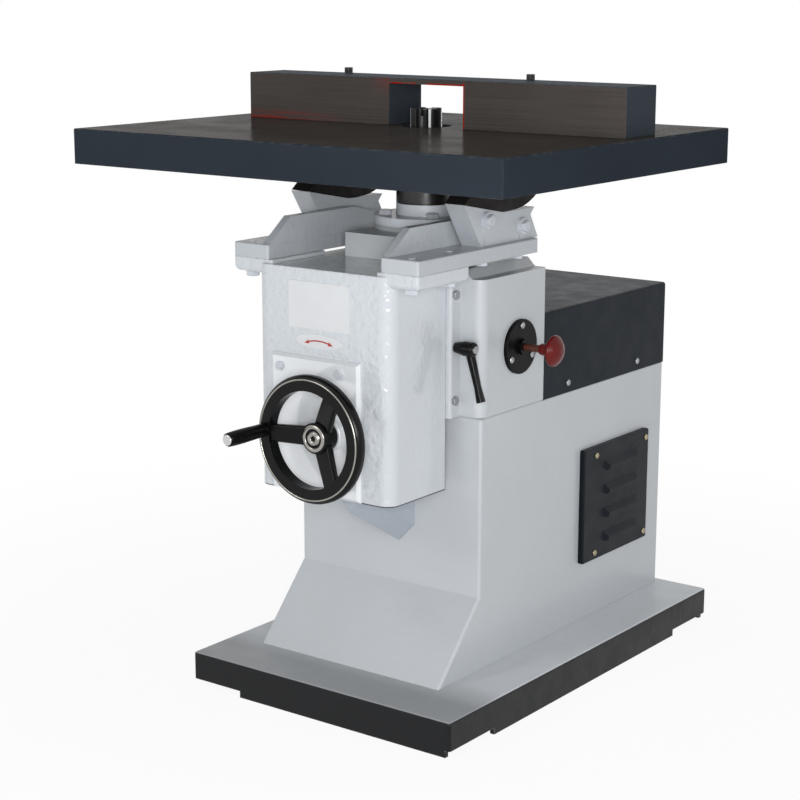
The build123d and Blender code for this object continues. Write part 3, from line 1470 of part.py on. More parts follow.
pieces = {
    "plinth": plinth,
    "pedestal": pedestal,
    "spindle_head": spindle_head,
    "gib": gib,
    "gib_screws": gib_screws,
    "spindle_cartridge": spindle_cartridge,
    "flange_bolts": flange_bolts,
    "spindle_bearings": spindle_bearings,
    "spindle_shaft": spindle_shaft,
    "cutter": cutter,
    "spindle_nut": spindle_nut,
    "spindle_pulley": spindle_pulley,
    "motor_pulley": motor_pulley,
    "motor_shaft": motor_shaft,
    "motor_housing": motor_housing,
    "motor_base_plate": motor_base_plate,
    "drive_belt": drive_belt,
    "belt_cover": belt_cover,
    "cover_screws": cover_screws,
    "vent_panel": vent_panel,
    "vent_screws": vent_screws,
    "lock_flange": lock_flange,
    "lock_screws": lock_screws,
    "lock_pin": lock_pin,
    "lock_knob": lock_knob,
    "clamp_lever": clamp_lever,
    "lever_stud": lever_stud,
    "lift_bracket": lift_bracket,
    "lift_bracket_bolts": lift_bracket_bolts,
    "lift_screw": lift_screw,
    "knee": knee,
    "shaft_bush": shaft_bush,
    "front_panel": front_panel,
    "panel_bolts": panel_bolts,
    "lift_nut": lift_nut,
    "nut_ring": nut_ring,
    "wheel_shaft": wheel_shaft,
    "lift_pinion": lift_pinion,
    "handwheel": handwheel,
    "hub_cap": hub_cap,
    "grip_stud": grip_stud,
    "handle_grip": handle_grip,
    "bracket_right": bracket_right,
    "bracket_left": bracket_left,
    "saddle_right": saddle_right,
    "saddle_left": saddle_left,
    "clamp_washers": clamp_washers,
    "clamp_bolts": clamp_bolts,
    "ear_bolts": ear_bolts,
    "saddle_bolts": saddle_bolts,
    "trunnion_right": trunnion_right,
    "trunnion_left": trunnion_left,
    "trunnion_bolts": trunnion_bolts,
    "table": table,
    "table_insert": table_insert,
    "fence_left": fence_left,
    "fence_right": fence_right,
    "fence_bridge": fence_bridge,
    "fence_bolts": fence_bolts,
}
for name, piece in pieces.items():
    piece.part.label = name
    export_step(piece.part, f"parts/{name}.step")
    print(name, len(piece.part.solids()), round(piece.part.volume))
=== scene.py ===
# %% [markdown]
# # A spindle moulder
# The solids of the machine come from CAD, in metres, with +X to the operator's right, +Y to the rear and +Z
# up. This lesson dresses them: enamel, ground iron, plastic and steel. Then it adds the small pieces that
# CAD leaves plain, such as bolt heads, slotted screws, a label plate and the bright ring on the handwheel.

# %% Load the machine
import json
import math

import bmesh
import bpy
from mathutils import Matrix, Vector


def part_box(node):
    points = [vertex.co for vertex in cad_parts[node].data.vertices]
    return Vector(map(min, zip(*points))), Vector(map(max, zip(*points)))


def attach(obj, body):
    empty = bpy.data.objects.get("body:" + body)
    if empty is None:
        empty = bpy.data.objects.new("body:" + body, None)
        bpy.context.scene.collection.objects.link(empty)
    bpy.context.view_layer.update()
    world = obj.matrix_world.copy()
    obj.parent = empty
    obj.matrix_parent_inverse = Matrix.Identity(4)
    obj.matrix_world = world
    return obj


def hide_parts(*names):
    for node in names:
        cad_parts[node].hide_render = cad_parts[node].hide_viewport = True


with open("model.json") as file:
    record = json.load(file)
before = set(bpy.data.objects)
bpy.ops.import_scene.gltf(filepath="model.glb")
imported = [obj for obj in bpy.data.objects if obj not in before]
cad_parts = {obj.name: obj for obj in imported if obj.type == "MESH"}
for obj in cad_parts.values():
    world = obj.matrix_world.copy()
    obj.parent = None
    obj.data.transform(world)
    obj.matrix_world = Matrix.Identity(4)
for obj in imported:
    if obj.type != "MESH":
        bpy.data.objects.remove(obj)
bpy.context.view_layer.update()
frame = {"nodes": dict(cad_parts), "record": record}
nodes = frame["nodes"]
scene = bpy.context.scene

# %% [markdown]
# ## The camera
# The photograph was taken from the front right, a little above the table, with a fairly long lens. A camera
# could be aimed at a target with a constraint, but a yaw and a pitch keep its numbers easy to read and to
# change.

# %% Camera
camera_data = bpy.data.cameras.new("view")
camera = bpy.data.objects.new("view", camera_data)
scene.collection.objects.link(camera)
scene.camera = camera
yaw, pitch, roll = (math.radians(a) for a in (36.80, 12.61, -0.08))
sensor_width = 36.0
picture_pixels = 800
focal_pixels = 1908.1
shift_pixels = (2.66, 0.32)
camera.location = (1.8068, -2.5319, 1.1468)
camera.rotation_euler = (math.pi / 2 - pitch, roll, yaw)
camera_data.sensor_width = sensor_width
camera_data.lens = sensor_width * focal_pixels / picture_pixels
camera_data.shift_x = shift_pixels[0] / picture_pixels
camera_data.shift_y = shift_pixels[1] / picture_pixels
camera_data.clip_end = 60
print("camera at", tuple(round(v, 3) for v in camera.location))

# %% [markdown]
# ## Light and floor
# Large soft lamps stand in for a studio. The key light comes from the operator's left, so the front of the
# machine is brighter than its right side, and a fill lamp near the camera reaches under the table. The
# white backdrop is a colour that only the camera and reflections see, so it adds no light to the machine.
# The floor fades into it, and still keeps the machine's shadow.


# %% Helpers for shader nodes and colours
def put(tree, kind, sockets=None, **settings):
    """Adds a node, sets its properties, and fills or links its input sockets."""
    node = tree.nodes.new(kind)
    for key, value in settings.items():
        setattr(node, key, value)
    for key, value in (sockets or {}).items():
        if isinstance(value, bpy.types.NodeSocket):
            tree.links.new(value, node.inputs[key])
        else:
            node.inputs[key].default_value = value
    return node


def maths(tree, operation, *values):
    """The result of one arithmetic node."""
    return put(tree, "ShaderNodeMath", dict(enumerate(values)), operation=operation).outputs[0]


def paint(red, green, blue):
    """A display colour from 0 to 255 as the linear colour that a shader works in."""
    channels = [c / 255 for c in (red, green, blue)]
    return [c / 12.92 if c <= 0.04045 else ((c + 0.055) / 1.055) ** 2.4 for c in channels] + [1.0]


def seen_by_eye(tree):
    """1 for what the camera sees, directly or in a reflection or through glass."""
    path = put(tree, "ShaderNodeLightPath").outputs
    seen = maths(tree, "MAXIMUM", path["Is Camera Ray"], path["Is Glossy Ray"])
    return maths(tree, "MAXIMUM", seen, path["Is Transmission Ray"])


# %% World
scene.view_settings.view_transform = "Standard"
world = bpy.data.worlds.new("studio")
scene.world = world
world.use_nodes = True
sky = world.node_tree
sky.nodes.clear()
room_light = 0.34
soft = put(sky, "ShaderNodeBackground", {"Color": (0.97, 0.985, 1, 1), "Strength": room_light})
white = put(sky, "ShaderNodeBackground", {"Color": (1, 1, 1, 1), "Strength": 1.0})
mix = put(sky, "ShaderNodeMixShader", {0: seen_by_eye(sky), 1: soft.outputs[0], 2: white.outputs[0]})
put(sky, "ShaderNodeOutputWorld", {"Surface": mix.outputs[0]})
print("world ready")


# %% Lamps
def lamp(name, place, target, size, power):
    """A square soft lamp aimed at a point."""
    data = bpy.data.lights.new(name, "AREA")
    data.energy = power
    data.size = size
    light = bpy.data.objects.new(name, data)
    light.location = place
    light.rotation_euler = (Vector(target) - Vector(place)).to_track_quat("-Z", "Y").to_euler()
    scene.collection.objects.link(light)


lamp("key", place=(-1.6, -3.6, 2.4), target=(0, -0.2, 0.5), size=1.1, power=28)
lamp("side", place=(2.7, -1.2, 1.0), target=(0, 0, 0.75), size=0.9, power=8)
lamp("top", place=(0.4, 0.6, 3.6), target=(0, 0, 0.9), size=2.0, power=15)
lamp("fill", place=(2.0, -2.8, 1.1), target=(0, -0.1, 0.7), size=0.9, power=62)

# %% Floor
reach = 9
fade_from, fade_to = 0.5, 1.7
near_glow = 0.92
floor_mesh = bpy.data.meshes.new("floor")
corners = [(-reach, -reach, 0), (reach, -reach, 0), (reach, reach, 0), (-reach, reach, 0)]
floor_mesh.from_pydata(corners, [], [(0, 1, 2, 3)])
floor = bpy.data.objects.new("floor", floor_mesh)
scene.collection.objects.link(floor)
floor_paint = bpy.data.materials.new("pale floor")
floor_paint.use_nodes = True
tree = floor_paint.node_tree
tree.nodes.clear()
matt = put(tree, "ShaderNodeBsdfDiffuse", {"Color": (0.9, 0.9, 0.9, 1)})
glow = put(tree, "ShaderNodeEmission", {"Color": (1, 1, 1, 1), "Strength": 1.0})
place = put(tree, "ShaderNodeTexCoord")
away = put(tree, "ShaderNodeVectorMath", {0: place.outputs["Object"]}, operation="LENGTH")
fade = put(tree, "ShaderNodeMapRange",
           {"Value": away.outputs["Value"], "From Min": fade_from, "From Max": fade_to, "To Min": near_glow,
            "To Max": 1.0}, interpolation_type="SMOOTHSTEP")
share = maths(tree, "MULTIPLY", fade.outputs[0], seen_by_eye(tree))
mix = put(tree, "ShaderNodeMixShader", {0: share, 1: matt.outputs[0], 2: glow.outputs[0]})
put(tree, "ShaderNodeOutputMaterial", {"Surface": mix.outputs[0]})
floor_mesh.materials.append(floor_paint)
print("floor ready")

# %% [markdown]
# ## Effects that several finishes share
# Old paint drifts in tone, thick paint over a casting is lumpy, edges wear, and dust settles on what faces
# up; the same upward mask also carries painted shade on faces under the table. Each effect could be painted
# on an image, but a node group needs no unwrapping, is built once, and each finish gives it its own values.


# %% Shader group maker
def new_group(name, inputs, outputs):
    """An empty shader group with named sockets, and its input and output nodes."""
    group = bpy.data.node_groups.new(name, "ShaderNodeTree")
    for label, value in inputs.items():
        kind = "NodeSocketFloat" if isinstance(value, float) else "NodeSocketColor"
        group.interface.new_socket(label, in_out="INPUT", socket_type=kind).default_value = value
    for label, kind in outputs.items():
        group.interface.new_socket(label, in_out="OUTPUT", socket_type=kind)
    return group, group.nodes.new("NodeGroupInput").outputs, group.nodes.new("NodeGroupOutput").inputs


def noise(tree, scale, detail=4.0, where=None):
    """A cloud of values in the piece's own coordinates."""
    where = where or put(tree, "ShaderNodeTexCoord").outputs["Object"]
    return put(tree, "ShaderNodeTexNoise", {"Vector": where, "Scale": scale, "Detail": detail}).outputs["Fac"]


def spread(tree, value, from_low, from_high, to_low=0.0, to_high=1.0):
    """Stretches a value from one range to another, and holds it inside the second."""
    return put(tree, "ShaderNodeMapRange", {"Value": value, "From Min": from_low, "From Max": from_high,
                                            "To Min": to_low, "To Max": to_high}).outputs[0]


# %% Tone drift
tone_group, given, out = new_group(
    "tone drift", {"Colour": (0.5, 0.5, 0.5, 1), "Spread": 0.06, "Scale": 6.0}, {"Colour": "NodeSocketColor"}
)
fine_scale = 260.0
broad_share, fine_share = 0.9, 0.1
swing_gain = 3.0
broad = maths(tone_group, "MULTIPLY", noise(tone_group, given["Scale"]), broad_share)
both = maths(tone_group, "MULTIPLY_ADD", noise(tone_group, fine_scale, detail=1.0), fine_share, broad)
swing = maths(tone_group, "MULTIPLY", maths(tone_group, "SUBTRACT", both, 0.5), given["Spread"])
level = maths(tone_group, "MULTIPLY_ADD", swing, swing_gain, 1.0)
shade = put(tone_group, "ShaderNodeHueSaturation", {"Color": given["Colour"], "Value": level})
tone_group.links.new(shade.outputs[0], out["Colour"])
print(tone_group.name, len(tone_group.nodes), "nodes")

# %% Lumpy paint over a casting, with softened edges
relief_group, given, out = new_group(
    "casting relief",
    {"Scale": 60.0, "Lumps": 0.001, "Grain": 0.3, "Edge": 0.001},
    {"Normal": "NodeSocketVector"},
)
grain_scale = 700.0
rounded = put(relief_group, "ShaderNodeBevel", {"Radius": given["Edge"]}, samples=4)
lumps = noise(relief_group, given["Scale"], detail=1.2)
grains = noise(relief_group, grain_scale, detail=1.0)
height = maths(relief_group, "MULTIPLY_ADD", grains, given["Grain"], lumps)
raised = put(relief_group, "ShaderNodeBump", {"Height": height, "Strength": 0.6, "Distance": given["Lumps"],
                                              "Normal": rounded.outputs[0]})
relief_group.links.new(raised.outputs[0], out["Normal"])
print(relief_group.name, len(relief_group.nodes), "nodes")

# %% Edge wear
wear_group, given, out = new_group("edge wear", {"Width": 0.002, "Amount": 0.6}, {"Mask": "NodeSocketFloat"})
edge = put(wear_group, "ShaderNodeBevel", {"Radius": given["Width"]}, samples=4)
flat = put(wear_group, "ShaderNodeNewGeometry")
along = put(wear_group, "ShaderNodeVectorMath",
            {0: edge.outputs["Normal"], 1: flat.outputs["True Normal"]}, operation="DOT_PRODUCT")
flat_limit, sharp_limit = 0.995, 0.90
patch_scale, patch_low, patch_high = 70.0, 0.42, 0.62
sharp = spread(wear_group, along.outputs["Value"], flat_limit, sharp_limit)
broken = spread(wear_group, noise(wear_group, patch_scale, detail=5.0), patch_low, patch_high)
worn = maths(wear_group, "MULTIPLY", maths(wear_group, "MULTIPLY", sharp, broken), given["Amount"])
wear_group.links.new(worn, out["Mask"])
print(wear_group.name, len(wear_group.nodes), "nodes")

# %% Settled dust and painted shade on upward faces
dust_and_shade_group, given, out = new_group("settled dust and top shade", {"Amount": 0.15}, {"Mask": "NodeSocketFloat"})
facing = put(dust_and_shade_group, "ShaderNodeNewGeometry")
axes = put(dust_and_shade_group, "ShaderNodeSeparateXYZ", {0: facing.outputs["Normal"]})
steepest, flattest = 0.5, 1.0
drift_scale, drift_low, drift_high = 22.0, 0.2, 0.7
thinnest = 0.5
upward = spread(dust_and_shade_group, axes.outputs["Z"], steepest, flattest)
clouds = noise(dust_and_shade_group, drift_scale, detail=6.0)
drifts = spread(dust_and_shade_group, clouds, drift_low, drift_high, to_low=thinnest)
lies = maths(dust_and_shade_group, "MULTIPLY", upward, drifts)
dust_and_shade_group.links.new(maths(dust_and_shade_group, "MULTIPLY", lies, given["Amount"]), out["Mask"])
print(dust_and_shade_group.name, len(dust_and_shade_group.nodes), "nodes")

# %% Grinding lines
grind_group, given, out = new_group(
    "grinding lines", {"Along": 3.0, "Across": 900.0}, {"Lines": "NodeSocketFloat"}
)
place = put(grind_group, "ShaderNodeTexCoord")
stretch = put(grind_group, "ShaderNodeCombineXYZ",
              {"X": given["Along"], "Y": given["Across"], "Z": given["Across"]})
drawn = put(grind_group, "ShaderNodeVectorMath", {0: place.outputs["Object"], 1: stretch.outputs[0]},
            operation="MULTIPLY")
lines = noise(grind_group, scale=1.0, detail=3.0, where=drawn.outputs[0])
grind_group.links.new(lines, out["Lines"])
print(grind_group.name, len(grind_group.nodes), "nodes")

# %% [markdown]
# ## Painted finishes
# Most of the machine is one light grey enamel, brushed thickly over rough castings, so its gloss breaks up
# on the lumps. The belt cover and the vent panel are a dark blue grey. A single colour would look like
# plastic, so each paint drifts in tone, wanders in gloss, wears at its edges and carries a little dust. Where
# upward faces lie under the table, the same mask is turned up as painted shade.


# %% Helpers for a finish
def use(tree, group, sockets):
    """Places one of the shared groups and gives its outputs."""
    return put(tree, "ShaderNodeGroup", sockets, node_tree=group).outputs


def blend(tree, mask, first, second):
    """Mixes two colours by a mask."""
    return put(tree, "ShaderNodeMix", {0: mask, 6: first, 7: second}, data_type="RGBA").outputs[2]


cloud_low, cloud_high = 0.3, 0.7


def wander(tree, limits, scale):
    """A value that wanders between two limits. Most of a cloud's values lie from cloud_low to cloud_high."""
    return spread(tree, noise(tree, scale), cloud_low, cloud_high, *limits)


def start(name):
    """A new material, its node tree and its shader."""
    material = bpy.data.materials.new(name)
    material.use_nodes = True
    tree = material.node_tree
    return material, tree, tree.nodes["Principled BSDF"]


def facing_axes(tree):
    """The three parts of the direction that a surface faces."""
    facing = put(tree, "ShaderNodeNewGeometry")
    return put(tree, "ShaderNodeSeparateXYZ", {0: facing.outputs["Normal"]}).outputs


def place_axes(tree):
    """The three parts of a point's place on the machine."""
    place = put(tree, "ShaderNodeTexCoord")
    return put(tree, "ShaderNodeSeparateXYZ", {0: place.outputs["Object"]}).outputs


def within(tree, axes, **limits):
    """1 inside a box of places on the machine, 0 outside it."""
    mask = None
    for axis, (low, high) in limits.items():
        inside = maths(tree, "COMPARE", axes[axis], (low + high) / 2, (high - low) / 2)
        mask = maths(tree, "MULTIPLY", mask, inside) if mask else inside
    return mask


# %% Enamel
dust_and_shade_colour = paint(112, 112, 110)


def enamel(name, colour, rough, lumps, wear, dust_and_shade, worn_to, lump_scale=55.0, drift=0.05, coat=0.25,
           edge=0.0016, gloss=0.5, grain=0.2):
    """Paint on iron or steel with drifting tone, lumps, worn edges, and dust and painted shade on upward
    faces. Gives its colour socket too.
    """
    material, tree, shader = start(name)
    tone = use(tree, tone_group, {"Colour": colour, "Spread": drift, "Scale": 5.0})["Colour"]
    bare = use(tree, wear_group, {"Width": 0.0016, "Amount": wear})["Mask"]
    dust_and_shade_mask = use(tree, dust_and_shade_group, {"Amount": dust_and_shade})["Mask"]
    shown = blend(tree, dust_and_shade_mask, blend(tree, bare, tone, worn_to), dust_and_shade_colour)
    tree.links.new(shown, shader.inputs["Base Color"])
    tree.links.new(wander(tree, rough, scale=30.0), shader.inputs["Roughness"])
    relief = use(tree, relief_group, {"Scale": lump_scale, "Lumps": lumps, "Grain": grain, "Edge": edge})
    tree.links.new(relief["Normal"], shader.inputs["Normal"])
    shader.inputs["Coat Weight"].default_value = coat
    shader.inputs["Coat Roughness"].default_value = min(0.1, rough[0])
    shader.inputs["Specular IOR Level"].default_value = gloss
    return material, tree, shader, shown


# %% Light paints
grey = paint(190, 194, 198)
bared = paint(118, 117, 113)
smooth_paint = dict(rough=(0.30, 0.42), lumps=0.0012, wear=0.05, worn_to=bared, grain=0.1)
grey_enamel, *_ = enamel("grey enamel", grey, dust_and_shade=0.12, **smooth_paint)
# The corbel's enamel is darker and bluer than the pedestal's as painted shade under the knee.
corbel_enamel_shaded, *_ = enamel("enamel on corbel, painted shade", paint(170, 177, 187), dust_and_shade=0.12, **smooth_paint)
# The spindle head's upward faces are darkened by the dust mask as painted shade under the table.
head_enamel, *_ = enamel("enamel on spindle head", grey, dust_and_shade=0.75, **smooth_paint)
panel_enamel, *_ = enamel("enamel on plate", paint(224, 227, 230), rough=(0.04, 0.08), lumps=0.0006, wear=0.1,
                          dust_and_shade=0.1, worn_to=bared, coat=1.0, gloss=0.9)
small_enamel, *_ = enamel("enamel on small castings", paint(184, 189, 194), rough=(0.29, 0.38), lumps=0.0016,
                          wear=0.08, dust_and_shade=0.1, worn_to=bared, lump_scale=90.0, edge=0.0022, grain=0.03)
print("light paints ready")

# %% [markdown]
# The knee is a rough casting. Its front was left lumpy under the paint while its sides are smoother, so the
# height of the lumps follows the way a face looks. A dark band along its lowest edge is painted shade, and
# its upward faces are darkened as painted shade under the table.

# %% Enamel on the knee
side_lumps, front_lumps = 0.001, 0.0042
oblique, square_on = -0.6, -0.95
shade_edge_low, shade_edge_high = 0.0012, 0.0022
# The knee's upward faces are darkened by the dust mask as painted shade under the table.
cast_enamel, tree, shader, shown = enamel(
    "enamel on rough casting", paint(200, 205, 210), rough=(0.14, 0.24), lumps=side_lumps, wear=0.1,
    dust_and_shade=0.75, worn_to=bared, lump_scale=105.0, coat=0.6, edge=0.004, grain=0.02)
relief = next(n for n in tree.nodes if n.type == "GROUP" and n.node_tree == relief_group)
rougher = spread(tree, facing_axes(tree)["Y"], oblique, square_on, side_lumps, front_lumps)
tree.links.new(rougher, relief.inputs["Lumps"])
knee_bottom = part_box("knee")[0].z
# A thin band of painted shade darkens the knee's lowest edge.
painted_shade_edge = spread(tree, place_axes(tree)["Z"], knee_bottom + shade_edge_high, knee_bottom + shade_edge_low)
tree.links.new(blend(tree, painted_shade_edge, shown, paint(28, 28, 30)), shader.inputs["Base Color"])
print("knee paint ready")

# %% Dark paints
dull = dict(gloss=0.15, coat=0.0)
cover_paint, *_ = enamel("dark cover paint", paint(23, 29, 36), rough=(0.40, 0.52), lumps=0.0003, wear=0.35,
                         dust_and_shade=0.05, worn_to=paint(80, 83, 86), gloss=0.1, coat=0.0)
vent_paint, *_ = enamel("black vent paint", paint(12, 18, 25), rough=(0.38, 0.5), lumps=0.0003, wear=0.4,
                        dust_and_shade=0.05, worn_to=paint(80, 80, 80), **dull)
# The trunnions' near-black is partly their dark paint and partly painted shade under the table.
dark_cast_and_shade, *_ = enamel("dark casting and painted shade", paint(26, 23, 22), rough=(0.5, 0.68), lumps=0.0015, wear=0.3, dust_and_shade=0.1,
                       worn_to=paint(74, 66, 60), **dull)
motor_paint, *_ = enamel("motor paint", paint(70, 78, 84), rough=(0.4, 0.5), lumps=0.0006, wear=0.3, dust_and_shade=0.3,
                         worn_to=paint(120, 120, 118))
print("dark paints ready")

# %% [markdown]
# The plinth is light on top and black round its skirts. Painted shade darkens the front strip of its top, and
# the skirts' worn sharp edges carry a painted highlight. The spindle's neck is painted dark above a line near
# its top. Masking by the way a face looks, or by place, paints each on one piece without cutting its mesh.

# %% Plinth paint
front_shade_start, front_shade_full, front_shade_share = 0.15, 0.07, 0.6
top_limit, side_limit = 0.75, 0.6
plinth_paint, tree, shader, light_top = enamel(
    "plinth paint", paint(214, 218, 222), rough=(0.3, 0.45), lumps=0.0006, wear=0.2, dust_and_shade=0.15, worn_to=bared,
    gloss=0.2, coat=0.0)
plinth_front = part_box("plinth")[0].y
painted_front_shade = spread(tree, place_axes(tree)["Y"], plinth_front + front_shade_start, plinth_front + front_shade_full,
                 to_high=front_shade_share)
# Painted shade darkens the front strip of the plinth's top.
light_top = blend(tree, painted_front_shade, light_top, paint(104, 105, 106))
skirt = spread(tree, facing_axes(tree)["Z"], top_limit, side_limit)
skirt_tone = use(tree, tone_group, {"Colour": paint(19, 20, 22), "Spread": 0.12, "Scale": 9.0})["Colour"]
# The skirts' sharp edges are worn, and their bared colour is lightened as a painted highlight.
skirt_worn_highlight = use(tree, wear_group, {"Width": 0.002, "Amount": 0.7})["Mask"]
skirt_shown = blend(tree, skirt_worn_highlight, skirt_tone, paint(168, 170, 172))
tree.links.new(blend(tree, skirt, light_top, skirt_shown), shader.inputs["Base Color"])
print("plinth paint ready")

# %% Cartridge paint
dark_top_height = 0.0255
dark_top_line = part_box("spindle_cartridge")[1].z - dark_top_height
# The cartridge's upward faces are darkened by the dust mask, mostly as painted shade under the table.
cartridge_paint, tree, shader, light_neck = enamel(
    "cartridge paint", paint(226, 231, 238), rough=(0.29, 0.40), lumps=0.0008, wear=0.35, dust_and_shade=0.6,
    worn_to=bared)
# Above a line near its top, the neck is painted dark.
above_dark_line = maths(tree, "GREATER_THAN", place_axes(tree)["Z"], dark_top_line)
dark_top_tone = use(tree, tone_group, {"Colour": paint(28, 25, 24), "Spread": 0.1, "Scale": 20.0})["Colour"]
tree.links.new(blend(tree, above_dark_line, light_neck, dark_top_tone), shader.inputs["Base Color"])
print("cartridge paint ready, dark top from", round(dark_top_line, 4))

# %% [markdown]
# ## Ground iron
# The table top and the fence's faces are ground cast iron, dark and brownish, and polished by use. Their
# other sides are painted. Fine lines along the grinding direction streak the tone and the polish wanders,
# because one even tone and polish would look like plastic.


# %% Ground iron
ground_from, ground_full = 0.8, 0.9
faintest, strongest = 0.84, 1.14
side_rough = 0.44


def ground_iron(name, iron, side, band, rough, gloss):
    """Ground working faces with painted sides. band is the axis that the ground faces look along."""
    material, tree, shader = start(name)
    lines = use(tree, grind_group, {"Along": 4.0, "Across": 700.0})["Lines"]
    value = facing_axes(tree)[band]
    value = maths(tree, "ABSOLUTE", value) if band == "Y" else value
    mask = spread(tree, value, ground_from, ground_full)
    tone = use(tree, tone_group, {"Colour": iron, "Spread": 0.2, "Scale": 7.0})["Colour"]
    drawn = spread(tree, lines, cloud_low, cloud_high, faintest, strongest)
    streaked = put(tree, "ShaderNodeHueSaturation", {"Color": tone, "Value": drawn}).outputs[0]
    side_tone = use(tree, tone_group, {"Colour": side, "Spread": 0.14, "Scale": 6.0})["Colour"]
    bare = use(tree, wear_group, {"Width": 0.0022, "Amount": 0.6})["Mask"]
    shown = blend(tree, bare, blend(tree, mask, side_tone, streaked), paint(104, 102, 98))
    tree.links.new(shown, shader.inputs["Base Color"])
    polish = {0: mask, 2: side_rough, 3: wander(tree, rough, scale=12.0)}
    roughness = put(tree, "ShaderNodeMix", polish, data_type="FLOAT").outputs[0]
    tree.links.new(roughness, shader.inputs["Roughness"])
    relief = use(tree, relief_group, {"Scale": 90.0, "Lumps": 0.0003, "Grain": 0.5, "Edge": 0.0015})
    tree.links.new(relief["Normal"], shader.inputs["Normal"])
    shader.inputs["Specular IOR Level"].default_value = gloss
    return material, tree, shader, shown


table_iron, *_ = ground_iron("table iron", iron=paint(62, 58, 55), side=paint(46, 52, 59), band="Z",
                             rough=(0.12, 0.22), gloss=0.0004)
fence_iron, tree, shader, shown = ground_iron("fence iron", iron=paint(76, 71, 68), side=paint(58, 64, 71),
                                              band="Y", rough=(0.29, 0.38), gloss=0.004)
print("ground iron ready")

# %% [markdown]
# Red paint has crept round the front edges of the fence's tunnel: a line on the right edge and the roof, a
# tinge at the left half's upper corner and a smear low on that half. Limits of place on the machine mark
# these, and noise makes the lines and the smear ragged.

# %% Red paint at the tunnel
axes = place_axes(tree)
line_width, overlap = 0.0025, 0.0005
front_gap, front_depth, top_rise = 0.0015, 0.003, 0.005
ragged_low, ragged_high = 0.36, 0.5
table_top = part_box("table")[1].z
fence_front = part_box("fence_left")[0].y
tunnel_left, tunnel_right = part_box("fence_left")[1].x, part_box("fence_right")[0].x
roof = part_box("fence_bridge")[0].z
edge_y = (fence_front - front_gap, fence_front + front_depth)
ragged = spread(tree, noise(tree, scale=55.0, detail=5.0), ragged_low, ragged_high)
right_line = within(tree, axes, X=(tunnel_right - overlap, tunnel_right + line_width), Y=edge_y,
                    Z=(table_top, roof + top_rise))
roof_line = within(tree, axes, X=(tunnel_left, tunnel_right + line_width), Y=edge_y,
                   Z=(roof - overlap, roof + line_width))
lines = maths(tree, "MULTIPLY", maths(tree, "MAXIMUM", right_line, roof_line), ragged)
print("tunnel from", round(tunnel_left, 4), "to", round(tunnel_right, 4), "with its roof at", round(roof, 4))

# %% Red smear and tinge on the left half
smear_top, smear_base = table_top + 0.017, table_top + 0.002
streak_low, streak_high = 0.34, 0.6
smear_start, smear_full, smear_share = -0.15, -0.32, 0.75
tinge_start, tinge_full, tinge_share = -0.1, -0.06, 0.25
tinge_low, tinge_high = 0.955, 0.982
low_down = spread(tree, axes["Z"], smear_top, smear_base)
outward = spread(tree, axes["X"], smear_start, smear_full)
fading = maths(tree, "MULTIPLY", low_down, outward)
brushed = use(tree, grind_group, {"Along": 9.0, "Across": 160.0})["Lines"]
streaks = spread(tree, brushed, streak_low, streak_high)
smear = maths(tree, "MULTIPLY", maths(tree, "MULTIPLY", fading, streaks), smear_share)
near_tunnel = spread(tree, axes["X"], tinge_start, tinge_full)
left_half = maths(tree, "LESS_THAN", axes["X"], tunnel_left + 2 * overlap)
beside = maths(tree, "MULTIPLY", near_tunnel, left_half)
high_up = spread(tree, axes["Z"], tinge_low, tinge_high)
corner = maths(tree, "MULTIPLY", maths(tree, "MULTIPLY", beside, high_up), tinge_share)
front = maths(tree, "LESS_THAN", axes["Y"], fence_front + front_depth)
marks = maths(tree, "MAXIMUM", maths(tree, "MAXIMUM", lines, smear), corner)
red = maths(tree, "MULTIPLY", marks, front)
tree.links.new(blend(tree, red, shown, paint(150, 38, 22)), shader.inputs["Base Color"])
print("red paint ready")

# %% [markdown]
# ## Plastics and steels
# What the hand touches is black, glossy or satin, with one red knob. Bolts under the table were painted over
# with the machine, and the rest are zinc or dark steel. One function makes all these finishes, because they
# differ only in colour, gloss, metal and wear.


# %% Plastics, steels and the rest
def plain(name, colour, rough, metal=0.0, drift=0.08, coat=0.0, grain=0.0002, wear=0.0,
          worn_to=(0.4, 0.4, 0.4, 1), gloss=0.5):
    """A hard finish with drifting tone, a wandering roughness and a fine grain."""
    material, tree, shader = start(name)
    tone = use(tree, tone_group, {"Colour": colour, "Spread": drift, "Scale": 25.0})["Colour"]
    bare = use(tree, wear_group, {"Width": 0.001, "Amount": wear})["Mask"]
    shown = blend(tree, bare, tone, worn_to)
    tree.links.new(shown, shader.inputs["Base Color"])
    tree.links.new(wander(tree, rough, scale=60.0), shader.inputs["Roughness"])
    shader.inputs["Metallic"].default_value = metal
    shader.inputs["Coat Weight"].default_value = coat
    shader.inputs["Specular IOR Level"].default_value = gloss
    relief = use(tree, relief_group, {"Scale": 160.0, "Lumps": grain, "Grain": 0.6, "Edge": 0.0006})
    tree.links.new(relief["Normal"], shader.inputs["Normal"])
    return material, tree, shader, shown


black_gloss, *_ = plain("black gloss plastic", paint(9, 9, 10), rough=(0.15, 0.25), gloss=0.17)
black_satin, *_ = plain("black satin casting", paint(7, 7, 8), rough=(0.34, 0.46), grain=0.0003, gloss=0.1,
                        wear=0.2, worn_to=paint(80, 80, 80))
red_gloss, *_ = plain("red gloss plastic", paint(94, 12, 9), rough=(0.16, 0.25), grain=0.0001, gloss=0.25)
zinc, *_ = plain("dull zinc", paint(168, 170, 172), rough=(0.30, 0.46), metal=0.9, drift=0.12)
yellow_zinc, *_ = plain("yellow zinc", paint(166, 156, 128), rough=(0.30, 0.44), metal=0.9, drift=0.12)
bright, *_ = plain("bright steel", paint(205, 205, 205), rough=(0.10, 0.2), metal=1.0, drift=0.05,
                   grain=0.00005)
dull_bright, *_ = plain("dull bright steel", paint(158, 156, 150), rough=(0.17, 0.26), metal=1.0, drift=0.1)
